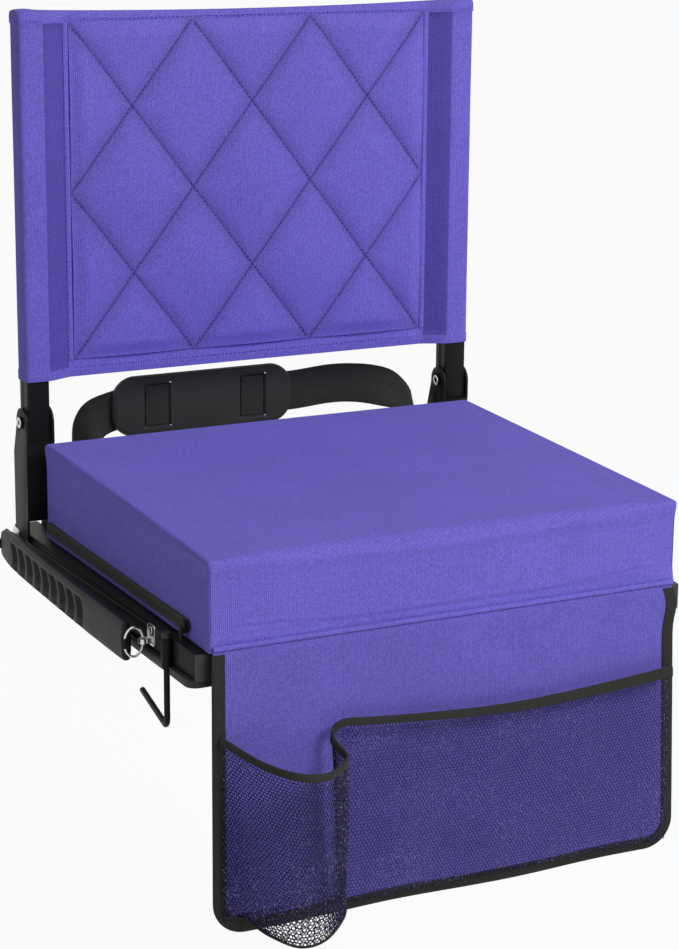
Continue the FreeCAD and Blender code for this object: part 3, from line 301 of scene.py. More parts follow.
def start_slab(name, columns, rows):
    """A closed slab: a grid at height 0 with its twin at height -1."""
    obj = start_grid(name, columns, rows)
    modify(obj, "SOLIDIFY", thickness=1.0, offset=-1.0)
    return obj


def start_block(name, low, high):
    """A box between two corners in millimetres, with its place in its mesh."""
    clear_selection()
    low, high = np.array(low, float) * MM, np.array(high, float) * MM
    bpy.ops.mesh.primitive_cube_add(size=1, location=(low + high) / 2, scale=high - low)
    return settle(name)


def start_rod(name, radius, depth, centre, axis, sides=24):
    """A capped cylinder in millimetres along X, Y or Z, with its place in its mesh."""
    clear_selection()
    turn = {"X": (0, math.pi / 2, 0), "Y": (math.pi / 2, 0, 0), "Z": (0, 0, 0)}[axis]
    bpy.ops.mesh.primitive_cylinder_add(
        vertices=sides, radius=radius * MM, depth=depth * MM, location=np.array(centre) * MM, rotation=turn,
    )
    return settle(name)


def modify(obj, kind, **settings):
    """Add a modifier, set it and apply it."""
    mod = obj.modifiers.new(kind.title(), kind)
    for key, value in settings.items():
        setattr(mod, key, value)
    activate(obj)
    bpy.ops.object.modifier_apply(modifier=mod.name)


def spots(obj):
    """The mesh's points as an array of rows, in metres."""
    co = np.empty(len(obj.data.vertices) * 3)
    obj.data.vertices.foreach_get("co", co)
    return co.reshape(-1, 3)


def put(obj, points):
    """Set the mesh's points from rows in metres."""
    obj.data.vertices.foreach_set("co", np.ascontiguousarray(points, float).ravel())
    obj.data.update()


def mould(obj, rule):
    """Shape a mesh by a rule from its own coordinates to millimetres."""
    x, y, z = rule(*spots(obj).T)
    put(obj, np.stack(np.broadcast_arrays(x, y, z), axis=1) * MM)
    return obj


@contextlib.contextmanager
def editing(obj, action="SELECT"):
    """Edit mode on one object, with all of its mesh selected or none of it."""
    activate(obj)
    bpy.ops.object.mode_set(mode="EDIT")
    bpy.ops.mesh.select_all(action=action)
    yield
    bpy.ops.object.mode_set(mode="OBJECT")


def weld(obj, near=0.00002):
    """Merge doubled points and point all faces outwards."""
    with editing(obj):
        bpy.ops.mesh.remove_doubles(threshold=near)
        bpy.ops.mesh.normals_make_consistent(inside=False)


def round_edges(obj, test, width, steps):
    """Bevel the edges whose two ends pass a test, in millimetres."""
    with editing(obj, "DESELECT"):
        bpy.ops.mesh.select_mode(type="EDGE")
    co = spots(obj) / MM
    for edge in obj.data.edges:
        edge.select = bool(test(co[edge.vertices[0]], co[edge.vertices[1]]))
    bpy.ops.object.mode_set(mode="EDIT")
    bpy.ops.mesh.bevel(offset=width * MM, segments=steps, affect="EDGES", profile=0.5)
    bpy.ops.mesh.select_mode(type="VERT")
    bpy.ops.object.mode_set(mode="OBJECT")


def join(name, pieces):
    """Join several meshes into one piece."""
    activate(pieces[0])
    for piece in pieces[1:]:
        piece.select_set(True)
    bpy.ops.object.join()
    return named(name)


def box_uv(obj):
    """Lay the weave on a piece from the side that each face looks to, in metres."""
    mesh = obj.data
    while mesh.uv_layers:
        mesh.uv_layers.remove(mesh.uv_layers[0])
    layer = mesh.uv_layers.new(name="UVMap")
    corner = np.empty(len(mesh.loops), np.int64)
    mesh.loops.foreach_get("vertex_index", corner)
    normal = np.empty(len(mesh.polygons) * 3)
    mesh.polygons.foreach_get("normal", normal)
    count = np.empty(len(mesh.polygons), np.int64)
    mesh.polygons.foreach_get("loop_total", count)
    facing = np.repeat(np.abs(normal.reshape(-1, 3)).argmax(axis=1), count)
    co = spots(obj)[corner]
    first = np.where(facing == 0, co[:, 1], co[:, 0])
    second = np.where(facing == 2, co[:, 1], co[:, 2])
    layer.data.foreach_set("uv", np.stack([first, second], axis=1).astype(np.float32).ravel())


def strip_uv(obj, along, across):
    """Stretch a grid's own UV map to a strip's real length and width, in millimetres."""
    layer = obj.data.uv_layers[0]
    uv = np.empty(len(layer.data) * 2, np.float32)
    layer.data.foreach_get("uv", uv)
    uv = uv.reshape(-1, 2) * np.array([along, across], np.float32) * MM
    layer.data.foreach_set("uv", uv.astype(np.float32).ravel())


def dress(obj, finish, body, slot, *nodes, smooth=40):
    """Give a finished piece its materials, its body and its smooth shading, and hide the nodes that it stands
    for; its slot is not used.
    """
    obj.data.materials.clear()
    for name in [finish] if isinstance(finish, str) else finish:
        obj.data.materials.append(bpy.data.materials[name])
    activate(obj)
    bpy.ops.object.shade_smooth_by_angle(angle=math.radians(smooth))
    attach(obj, body)
    if nodes:
        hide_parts(*nodes)


def complete(obj, *look, **how):
    """Weld a piece, lay the weave on it from each side and dress it."""
    weld(obj)
    box_uv(obj)
    dress(obj, *look, **how)


def ease(t):
    """A smooth step from 0 to 1."""
    t = np.clip(t, 0.0, 1.0)
    return t * t * (3 - 2 * t)


def square_off(wave, power):
    """A sine or cosine raised towards a square wave, for rounded oblongs."""
    return np.sign(wave) * np.abs(wave) ** power


def ripple(x, y, seed):
    """Slow unevenness of hand-sewn cloth, about -1 to 1, the same each run."""
    draw = np.random.default_rng(seed)
    total = 0.0
    for step in (1.0, 1.9, 3.7):
        a, b, c, d = draw.uniform(0, 6.28, 4)
        turn = draw.uniform(0.6, 1.4, 2)
        across = np.sin(step * turn[0] * x + a + np.sin(y * step + c))
        total = total + across * np.sin(step * turn[1] * y + b + d) / step
    return total / 1.5


def smooth_path(points, count):
    """Points evenly spaced along a smooth line through control points."""
    p = np.array(points, float)
    p = np.vstack([2 * p[0] - p[1], p, 2 * p[-1] - p[-2]])
    made = []
    for i in range(1, len(p) - 2):
        t = np.linspace(0, 1, 24, endpoint=False)[:, None]
        a, b, c, d = p[i - 1:i + 3]
        square, cube = 2 * a - 5 * b + 4 * c - d, 3 * b - a - 3 * c + d
        made.append(0.5 * (2 * b + (c - a) * t + square * t**2 + cube * t**3))
    line = np.vstack(made + [p[-2:-1]])
    return spaced(line, count)


def spaced(line, count):
    """A polyline resampled to evenly spaced points."""
    gone = np.concatenate([[0], np.cumsum(np.linalg.norm(np.diff(line[:, :3], axis=0), axis=1))])
    at = np.linspace(0, gone[-1], count)
    return np.stack([np.interp(at, gone, line[:, k]) for k in range(line.shape[1])], axis=1)


def run_length(line):
    """The length of a polyline."""
    return float(np.linalg.norm(np.diff(line[:, :3], axis=0), axis=1).sum())


def unit(v):
    """Rows scaled to length 1."""
    return v / np.maximum(np.linalg.norm(v, axis=-1, keepdims=True), 1e-9)


def lookup(u, table):
    """Rows of a table at shares from -1 to 1 along it."""
    at = (u + 1) / 2 * (len(table) - 1)
    return [np.interp(at, np.arange(len(table)), table[:, k]) for k in range(table.shape[1])]


def thread_rows(name, rows, pitch, long, wide=0.75, high=0.55):
    """Stitches along rows of points and face normals, modelled once and repeated."""
    clear_selection()
    bpy.ops.mesh.primitive_uv_sphere_add(segments=6, ring_count=4, radius=0.5)
    seed = bpy.context.active_object
    base = spots(seed) * np.array([wide, high, long])
    faces = [tuple(p.vertices) for p in seed.data.polygons]
    bpy.data.objects.remove(seed)
    points, quads = [], []
    for line, normal in rows:
        line = np.array(line, float)
        count = max(2, int(run_length(line) / pitch))
        both = np.hstack([line, np.broadcast_to(normal, line.shape)])
        both = spaced(both, count + 1)
        middle = (both[1:, :3] + both[:-1, :3]) / 2
        ahead = unit(both[1:, :3] - both[:-1, :3])
        out = unit((both[1:, 3:] + both[:-1, 3:]) / 2)
        side = unit(np.cross(out, ahead))
        for m, a, n, s in zip(middle, ahead, out, side):
            quads.extend([tuple(i + len(points) * len(base) for i in f) for f in faces])
            points.append(m + base @ np.stack([s, n, a]))
    mesh = bpy.data.meshes.new(name)
    mesh.from_pydata((np.vstack(points) * MM).tolist(), [], quads)
    mesh.update()
    return add_object(name, mesh)


def sew(name, rows, sizes, finish, body, slot, *shape):
    """Stitches along rows in the seat's usual spacing, dressed as thread."""
    thread = thread_rows(name, rows, sizes.stitch_pitch / MM, sizes.stitch_long / MM, *shape)
    dress(thread, finish, body, slot)
    return thread


def start_net(name, wide, tall, cell):
    """A sheet of six-sided net cells, modelled as one cell and repeated, from 0 to 1 each way."""
    clear_selection()
    bpy.ops.mesh.primitive_circle_add(vertices=6, radius=1.0, fill_type="NGON")
    obj = named(name)
    step = math.sqrt(3.0)
    if abs(np.abs(spots(obj)[:, 1]).max() - 1.0) > 0.01:
        put(obj, spots(obj)[:, [1, 0, 2]])
    columns = max(3, round(wide / cell))
    pairs = max(2, round(tall / (cell * step)))
    near = 0.02
    for count, offset in ((columns, (step, 0, 0)), (2, (step / 2, 1.5, 0)), (pairs, (0, 3.0, 0))):
        modify(
            obj, "ARRAY", count=count, use_relative_offset=False, use_constant_offset=True,
            constant_offset_displace=offset, use_merge_vertices=True, merge_threshold=near,
        )
    weld(obj, near)
    co = spots(obj)
    low, high = co.min(axis=0), co.max(axis=0)
    co[:, :2] = (co[:, :2] - low[:2]) / (high[:2] - low[:2])
    put(obj, co)
    return obj


def knit(obj, strand):
    """Turn a net's cells into strands."""
    modify(obj, "WIREFRAME", thickness=strand, use_even_offset=False, use_boundary=True, use_replace=True)


def soften(name, width, finish, slot, shape=None):
    """A frame node's own form, shaped further if asked, with its edges broken, standing for that node."""
    clear_selection()
    source = frame["nodes"][name]
    obj = add_object(name + "_finished", source.data.copy())
    activate(obj)
    bpy.ops.mesh.customdata_custom_splitnormals_clear()
    with editing(obj):
        bpy.ops.mesh.remove_doubles(threshold=0.00001)
        bpy.ops.mesh.dissolve_limited(angle_limit=math.radians(0.5))
    if shape:
        shape(obj)
    modify(
        obj, "BEVEL", width=width * MM, segments=2, limit_method="ANGLE", angle_limit=math.radians(35),
        use_clamp_overlap=True, harden_normals=False,
    )
    box_uv(obj)
    dress(obj, finish, source["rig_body"], slot, name, smooth=30)


# Finishes.


def node_kit(tree):
    """For a node tree, a function that sets or links a socket and one that adds a node."""

    def feed(socket, value):
        if isinstance(value, bpy.types.NodeSocket):
            tree.links.new(value, socket)
        elif value is not None:
            socket.default_value = value

    def add(kind, *inputs, **settings):
        made = tree.nodes.new("ShaderNode" + kind)
        for key, value in settings.items():
            setattr(made, key, value)
        for socket, value in zip(made.inputs, inputs):
            feed(socket, value)
        return made.outputs[0]

    return feed, add


def new_finish(name):
    """An empty finish: its shader, its object coordinates, and functions that add and join its nodes."""
    mat = bpy.data.materials.new(name)
    mat.use_nodes = True
    tree = mat.node_tree
    skin = tree.nodes["Principled BSDF"]
    feed, add = node_kit(tree)

    def ramp(share, *stops):
        made = tree.nodes.new("ShaderNodeValToRGB")
        bar = made.color_ramp.elements
        while len(bar) < len(stops):
            bar.new(0.5)
        for stop, (at, tone) in zip(bar, stops):
            stop.position = at
            stop.color = (*tone, 1.0)
        feed(made.inputs[0], share)
        return made.outputs[0]

    def bump(height, strength, depth):
        made = tree.nodes.new("ShaderNodeBump")
        made.inputs["Strength"].default_value = strength
        made.inputs["Distance"].default_value = depth
        feed(made.inputs["Height"], height)
        feed(skin.inputs["Normal"], made.outputs[0])

    place = tree.nodes.new("ShaderNodeTexCoord").outputs["Object"]
    return skin, place, add, ramp, bump, feed


def tone(base, factor):
    """A colour made lighter or darker."""
    return tuple(min(1.0, c * factor) for c in base)


def woven(name, base, pitch, rough, contrast, sheen, lean=0.0, relief=0.35):
    """Woven cloth or tape: crossing threads, straight or leaning, painted shade in stitched creases, slow tone
    changes and a sheen.
    """
    skin, place, add, ramp, bump, feed = new_finish(name)
    tree = skin.id_data
    parts = tree.nodes.new("ShaderNodeSeparateXYZ")
    feed(parts.inputs[0], add("Mapping", add("UVMap", uv_map="UVMap"), None, (0.0, 0.0, lean)))
    turn = 2 * math.pi / pitch
    waves = [
        add("Math", add("Math", along, rate, operation="MULTIPLY"), operation="SINE")
        for along, rate in zip(parts.outputs, (turn, turn * 0.8))
    ]
    cross = add("Math", *waves, operation="MULTIPLY")
    cloud = add("TexNoise", place, None, 11.0, 3.0, 0.55)
    fleck = add("TexNoise", place, None, 520.0, 1.0, 0.5)
    painted_crease_shade = tree.nodes.new("ShaderNodeAttribute")
    painted_crease_shade.attribute_name = "painted_crease_shade"
    share = add("MapRange", cross, -1.0, 1.0, 0.5 - contrast, 0.5 + contrast)
    slow = add("MapRange", cloud, 0.25, 0.75, -0.06, 0.06)
    quick = add("MapRange", fleck, 0.3, 0.7, -0.14, 0.14)
    share = add("Math", add("Math", share, slow, operation="ADD"), quick, operation="ADD")
    # Painted shade: the point attribute darkens the cloth in the quilt's stitched grooves.
    dark = add("Math", painted_crease_shade.outputs["Fac"], 0.75, operation="MULTIPLY")
    share = add("Math", share, dark, operation="SUBTRACT")
    tones = (0.0, tone(base, 0.5)), (0.5, base), (1.0, tone(base, 1.5))
    feed(skin.inputs["Base Color"], ramp(share, *tones))
    feed(skin.inputs["Roughness"], add("MapRange", cross, -1.0, 1.0, rough + 0.06, rough - 0.06))
    skin.inputs["Sheen Weight"].default_value = sheen
    skin.inputs["Sheen Roughness"].default_value = 0.45
    skin.inputs["Specular IOR Level"].default_value = 0.2
    bump(cross, relief, 0.0003)


def net_finish(name, base):
    """Knitted nylon: dark strands with painted highlights, pale glints set in the base colour where filaments
    would catch the light.
    """
    skin, place, add, ramp, bump, feed = new_finish(name)
    slow = add("TexNoise", place, None, 16.0, 2.0, 0.5)
    fine = add("TexNoise", place, None, 620.0, 2.0, 0.6)
    # Painted highlights: fine noise in slow patches picks the pale glint spots on the strands.
    grain = add("Math", fine, add("MapRange", slow, 0.36, 0.64, -0.035, 0.035), operation="ADD")
    twist = add("TexWave", place, 900.0, 3.0)
    pale = tuple(min(1.0, c * 4.5 + 0.26) for c in base)
    tones = (0.3, tone(base, 0.6)), (0.54, base), (0.58, tone(base, 1.6)), (0.7, pale)
    feed(skin.inputs["Base Color"], ramp(grain, *tones))
    skin.inputs["Roughness"].default_value = 0.55
    skin.inputs["Specular IOR Level"].default_value = 0.2
    bump(twist, 0.4, 0.0002)


def coated(name, base, rough, scale, relief, spread=0.06, gloss=0.35):
    """Paint, plastic or rubber: a fine skin texture with uneven gloss and faint rubbing."""
    skin, place, add, ramp, bump, feed = new_finish(name)
    fine = add("TexNoise", place, None, scale, 2.0, 0.6)
    slow = add("TexNoise", place, None, 14.0, 4.0, 0.6)
    tones = (0.3, tone(base, 0.85)), (0.6, base), (0.85, tone(base, 1.35))
    feed(skin.inputs["Base Color"], ramp(slow, *tones))
    feed(skin.inputs["Roughness"], add("MapRange", slow, 0.3, 0.75, rough - spread, rough + spread))
    skin.inputs["Specular IOR Level"].default_value = gloss
    bump(fine, relief, 0.0002)


def plated(name, base):
    """Bright plated steel with fine drawn lines."""
    skin, place, add, ramp, bump, feed = new_finish(name)
    drawn = add("VectorMath", place, (1.0, 14.0, 1.0), operation="MULTIPLY")
    lines = add("TexNoise", drawn, None, 260.0, 3.0, 0.6)
    feed(skin.inputs["Base Color"], ramp(lines, (0.3, tone(base, 0.8)), (0.7, base)))
    feed(skin.inputs["Roughness"], add("MapRange", lines, 0.3, 0.7, 0.17, 0.33))
    skin.inputs["Metallic"].default_value = 1.0
    bump(lines, 0.08, 0.0002)


def plywood(name, base):
    """Stained plywood: long grain across the seat."""
    skin, place, add, ramp, bump, feed = new_finish(name)
    long = add("VectorMath", place, (3.0, 46.0, 46.0), operation="MULTIPLY")
    grain = add("TexNoise", long, None, 2.2, 5.0, 0.6)
    tones = (0.3, tone(base, 0.55)), (0.55, base), (0.8, tone(base, 1.5))
    feed(skin.inputs["Base Color"], ramp(grain, *tones))
    feed(skin.inputs["Roughness"], add("MapRange", grain, 0.3, 0.7, 0.5, 0.68))
    bump(grain, 0.25, 0.0003)


def make_finishes(sizes, tints):
    """All finishes of the seat, by name."""
    cloths = {
        # The apron's weave is the same cloth darkened as painted shade.
        "purple_weave": tints.cloth, "apron_weave": tone(tints.cloth, 0.86),
        # The side strips' weave carries painted shade for the recessed strips beside the quilt.
        "side_strip_weave": tints.side_strip_painted_shade,
    }
    for name, base in cloths.items():
        woven(name, base, sizes.weave_pitch, 0.85, 0.34, 0.06, math.radians(38.0))
    woven("binding_tape", tints.tape, sizes.tape_pitch, 0.75, 0.35, 0.05)
    woven("strap_webbing", tints.webbing, sizes.tape_pitch * 1.5, 0.7, 0.35, 0.05, math.radians(45.0), 0.6)
    woven("quilting_thread", tints.thread, 0.0006, 0.7, 0.3, 0.1)
    woven("black_thread", tone(tints.tape, 1.4), 0.0006, 0.6, 0.3, 0.1)
    net_finish("net_nylon", tints.net)
    coated("powder_coat", tints.paint, 0.52, 1100.0, 0.12, 0.05, 0.12)
    coated("moulded_rubber", tints.rubber, 0.62, 1500.0, 0.3)
    coated("grip_rubber", tone(tints.rubber, 0.3), 0.5, 1500.0, 0.3, 0.06, 0.18)
    coated("moulded_plastic", tints.plastic, 0.46, 1300.0, 0.2)
    plated("plated_steel", tints.bright)
    plywood("stained_board", tints.board)


# The stage.


def soft_lamp(name, place, at, size, power):
    """One large soft lamp that looks at a point."""
    lamp = bpy.data.lights.new(name, "AREA")
    lamp.shape = "DISK"
    lamp.size = size
    lamp.energy = power
    obj = add_object(name, lamp)
    obj.location = place
    way = Vector(at) - obj.location
    obj.rotation_euler = way.to_track_quat("-Z", "Y").to_euler()


def studio_camera():
    """The photograph's viewpoint: a long lens from the seat's left front, looking slightly down."""
    yaw, pitch, roll = (math.radians(a) for a in CAMERA_TURN)
    level = math.cos(pitch)
    ahead = Vector((math.sin(yaw) * level, math.cos(yaw) * level, -math.sin(pitch)))
    right = Vector((math.cos(yaw), -math.sin(yaw), 0))
    up = right.cross(ahead)
    c, s = math.cos(roll), math.sin(roll)
    right, up = right * c + up * s, up * c - right * s
    lens = bpy.data.cameras.new("studio_camera")
    lens.sensor_width = 36.0
    lens.lens = CAMERA_LENS
    lens.clip_start = 0.05
    lens.clip_end = 60.0
    camera = add_object("studio_camera", lens)
    turn = Matrix((right, up, -ahead)).transposed().to_4x4()
    camera.matrix_world = Matrix.Translation(CAMERA_PLACE) @ turn
    bpy.context.scene.camera = camera


def seen_white(tree, add):
    """1 where a camera, mirror or glass ray looks, else 0."""
    rays = tree.nodes.new("ShaderNodeLightPath").outputs
    share = rays["Is Camera Ray"]
    for ray in ("Is Glossy Ray", "Is Transmission Ray"):
        share = add("Math", share, rays[ray], operation="MAXIMUM")
    return share


def pale_world():
    """Even soft light, with a white background where the camera, metal and glass look at it."""
    world = bpy.data.worlds.new("pale_studio")
    bpy.context.scene.world = world
    world.use_nodes = True
    feed, add = node_kit(world.node_tree)
    sky = world.node_tree.nodes["Background"]
    sky.inputs["Color"].default_value = WHITE
    light = add("MapRange", seen_white(world.node_tree, add), 0.0, 1.0, WORLD_LIGHT, 1.0)
    feed(sky.inputs["Strength"], light)


def pale_floor():
    """A wide pale floor at a bench's height below the seat, which keeps a faint shadow."""
    clear_selection()
    bpy.ops.mesh.primitive_plane_add(size=40.0, location=(0, 0, FLOOR_Z))
    floor = settle("studio_floor")
    mat = bpy.data.materials.new("pale_floor")
    mat.use_nodes = True
    tree = mat.node_tree
    feed, add = node_kit(tree)
    skin = tree.nodes["Principled BSDF"]
    skin.inputs["Base Color"].default_value = FLOOR_TONE
    skin.inputs["Roughness"].default_value = 0.9
    glow = add("Math", seen_white(tree, add), FLOOR_GLOW, operation="MULTIPLY")
    blend = add("MixShader", glow, skin.outputs[0], add("Emission", WHITE))
    feed(tree.nodes["Material Output"].inputs["Surface"], blend)
    floor.data.materials.append(mat)


# The cushion and its zipper.


def swell(obj, cap, push, steps):
    """Let the cover swell over its foam as cloth, and hold each point near where it was sewn."""
    start = spots(obj)
    scene = bpy.context.scene
    mod = obj.modifiers.new("Cover", "CLOTH")
    cloth = mod.settings
    cloth.quality = 4
    cloth.use_pressure = True
    cloth.uniform_pressure_force = push
    cloth.tension_stiffness = 30
    cloth.compression_stiffness = 30
    cloth.effector_weights.gravity = 0.0
    cloth.vertex_group_mass = "sewn"
    mod.point_cache.frame_start = 1
    mod.point_cache.frame_end = steps
    for step in range(1, steps + 1):
        scene.frame_set(step)
    activate(obj)
    bpy.ops.object.modifier_apply(modifier=mod.name)
    scene.frame_set(1)
    move = spots(obj) - start
    far = np.linalg.norm(move, axis=1, keepdims=True)
    put(obj, start + move * np.minimum(1.0, cap / np.maximum(far, 1e-9)))


def seat_cushion(sizes):
    """A crisp box of foam that falls to the front, with drawn-in sides and its cover round the board."""
    low, high = SEAT[0].copy(), SEAT[1].copy()
    low[2] = node_box("base_board")[0][2] + 0.6
    high[2] += 2.0
    half, middle = (high - low) / 2, (high + low) / 2
    slack = sizes.swell / MM
    rise = sizes.crown / MM
    obj = start_block("seat_cushion", (-1000, -1000, -1000), (1000, 1000, 1000))
    with editing(obj):
        bpy.ops.mesh.subdivide(number_cuts=CUSHION_CELLS - 1)
    rim = 1 - CUSHION_RIM / CUSHION_CELLS
    face = 0.999

    def spread(t, reach):
        flat = reach - CUSHION_EDGE - 1.0
        outer = flat + (np.abs(t) - rim) / (1 - rim) * (reach - flat)
        return np.sign(t) * np.where(np.abs(t) < rim, np.abs(t) / rim * flat, outer)

    def box(u, v, w):
        p = np.stack([spread(t, reach) for t, reach in zip((u, v, w), half)], axis=1)
        core = np.clip(p, CUSHION_EDGE - half, half - CUSHION_EDGE)
        p = core + unit(p - core) * CUSHION_EDGE
        s, t = p[:, 0] / half[0], p[:, 1] / half[1]
        up = (p[:, 2] + half[2]) / (2 * half[2])
        drop = CUSHION_FALL * (1 - t) / 2 + rise * np.clip(0.5 * s**2 + 0.5 * t**2, 0, 1)
        z = p[:, 2] - up * drop
        x = p[:, 0] * (1 - CUSHION_DRAW / half[0] * (1 - t**2))
        y = p[:, 1] * (1 - CUSHION_DRAW / half[1] * (1 - s**2))
        inside = np.minimum(half[0] - np.abs(p[:, 0]), half[1] - np.abs(p[:, 1]))
        inside = np.where(np.abs(w) > face, inside, half[2] - np.abs(p[:, 2]))
        loose = slack * ease((inside - CUSHION_EDGE) / CUSHION_FADE)
        side = np.abs(w) <= face
        z = z - loose * (w > face)
        x = x - side * np.sign(x) * loose * (np.abs(u) > face)
        y = y - side * np.sign(y) * loose * (np.abs(v) > face)
        return middle[0] + x, middle[1] + y, middle[2] + z

    mould(obj, box)
    co = spots(obj) / MM - middle
    shell = half - np.abs(co)
    near = np.sort(shell, axis=1)[:, 1]
    sewn = obj.vertex_groups.new(name="sewn")
    edge = np.nonzero((near < CUSHION_EDGE + CUSHION_SEWN) | (co[:, 2] < 2 - half[2]))[0]
    sewn.add([int(i) for i in edge], 1.0, "REPLACE")
    swell(obj, sizes.swell, CUSHION_PUSH, CUSHION_STEPS)
    obj.vertex_groups.clear()
    box_uv(obj)
    dress(obj, "purple_weave", "base", "purple_cloth", "cushion_cover", "seat_foam", smooth=60)


def zipper(sizes):
    """The zipper's tape on the cushion's left side, its coil of teeth and its stitched edges."""
    low, high = ZIP[0], ZIP[1] + np.array([0.0, 5.0, 0.0])
    edge = -SEAT[1][0]
    half = SEAT[1][1]
    middle = (low[2] + high[2]) / 2
    tall = (high[2] - low[2]) / 2

    def side(y):
        return edge + CUSHION_DRAW * (1 - (y / half) ** 2) - 0.35

    def tape(u, v, w):
        y = low[1] + (u + 1) / 2 * (high[1] - low[1])
        ends = np.minimum(y - low[1], high[1] - y)
        reach = np.where(ends < tall, np.sqrt(np.maximum(tall**2 - (tall - ends) ** 2, 0.05)), tall)
        face = 1.0 - 0.45 * np.exp(-(((v * tall) / 2.0) ** 2))
        return side(y) - np.where(w > -0.5, face, -1.6), y, middle + v * reach

    band = mould(start_slab("zipper_band", 150, 14), tape)
    strip_uv(band, high[1] - low[1], 2 * tall)
    weld(band)
    dress(band, "binding_tape", "base", "black_tape", "zipper_tape")
    ys = np.linspace(low[1] + 7, high[1] - 7, 240)

    def pair(lift, proud):
        lines = [(side(ys) - proud, ys, np.full(ys.shape, middle + sign * lift)) for sign in (-1, 1)]
        return [(np.stack(line, axis=1), (-1.0, 0.0, 0.0)) for line in lines]

    coil = thread_rows("zipper_coil", pair(0.8, 0.75), 1.5, 1.15, 1.5, 0.9)
    dress(coil, "moulded_plastic", "base", "black_tape")
    sew("zipper_stitching", pair(tall - 1.3, 1.0), sizes, "black_thread", "base", "black_tape")


def zipper_slider():
    """The zipper's slider with its bridge, and its pull."""
    low, high = node_box("zipper_slider")
    body = start_block("slider_body", low, high)
    round_edges(body, lambda a, b: abs(a[0] - b[0]) > 1, 2.4, 4)
    round_edges(body, lambda a, b: max(a[0], b[0]) < low[0] + 0.05, 0.7, 3)
    mid = (low + high) / 2
    first = (low[0] - 1.4, mid[1] - 3, mid[2] - 1.2)
    last = (low[0] + 0.4, mid[1] + 3, mid[2] + 1.2)
    bridge = start_block("slider_bridge", first, last)
    round_edges(bridge, lambda a, b: min(a[0], b[0]) < low[0] - 1, 0.8, 3)
    obj = join("zipper_slider_body", [body, bridge])
    box_uv(obj)
    dress(obj, "powder_coat", "zipper", "bright_steel", "zipper_slider")
    low, high = node_box("zipper_pull")
    tab = start_block("zipper_pull_tab", low, high)
    round_edges(tab, lambda a, b: abs(a[0] - b[0]) > 1, 2.2, 5)
    round_edges(tab, lambda a, b: abs(a[0] - b[0]) < 0.01, 0.35, 2)
    box_uv(tab)
    dress(tab, "powder_coat", "zipper", "bright_steel", "zipper_pull")


# The back.


def round_corners(points, radii, steps=6):
    """A closed outline with each corner rounded."""
    made = []
    count = len(points)
    for i, (p, r) in enumerate(zip(points, radii)):
        p = np.array(p, float)
        before = unit(np.array(points[i - 1], float) - p) * r
        after = unit(np.array(points[(i + 1) % count], float) - p) * r
        if r == 0:
            made.append(p)
            continue
        for t in np.linspace(0, 1, steps):
            made.append((1 - t) ** 2 * (p + before) + 2 * t * (1 - t) * p + t**2 * (p + after))
    return np.array(made)


def fill_gaps(outline, step):
    """A closed outline with points no further apart than a step, back to its start."""
    made = []
    for a, b in zip(outline, np.roll(outline, -1, axis=0)):
        count = max(1, math.ceil(np.linalg.norm(b - a) / step))
        made.extend(a + (b - a) * k / count for k in range(count))
    return np.array(made + [outline[0]])


def cover_section():
    """The back cover in plan round both posts, from the middle of the back and round by the left."""
    out = (COVER[1][1] - COVER[0][1]) / 2
    far = COVER[1][0]
    near = POST_X - out
    seam = near - SEAM_INSET
    right = [(seam, -COVER_HALF), (near, -out), (far, -out), (far, out), (near, out), (seam, COVER_HALF)]
    left = [(-x, y) for x, y in reversed(right)]
    loop = round_corners([(0, COVER_HALF)] + left + right, [0] + [COVER_ROUND] * 12)
    return fill_gaps(loop, 6.5), seam


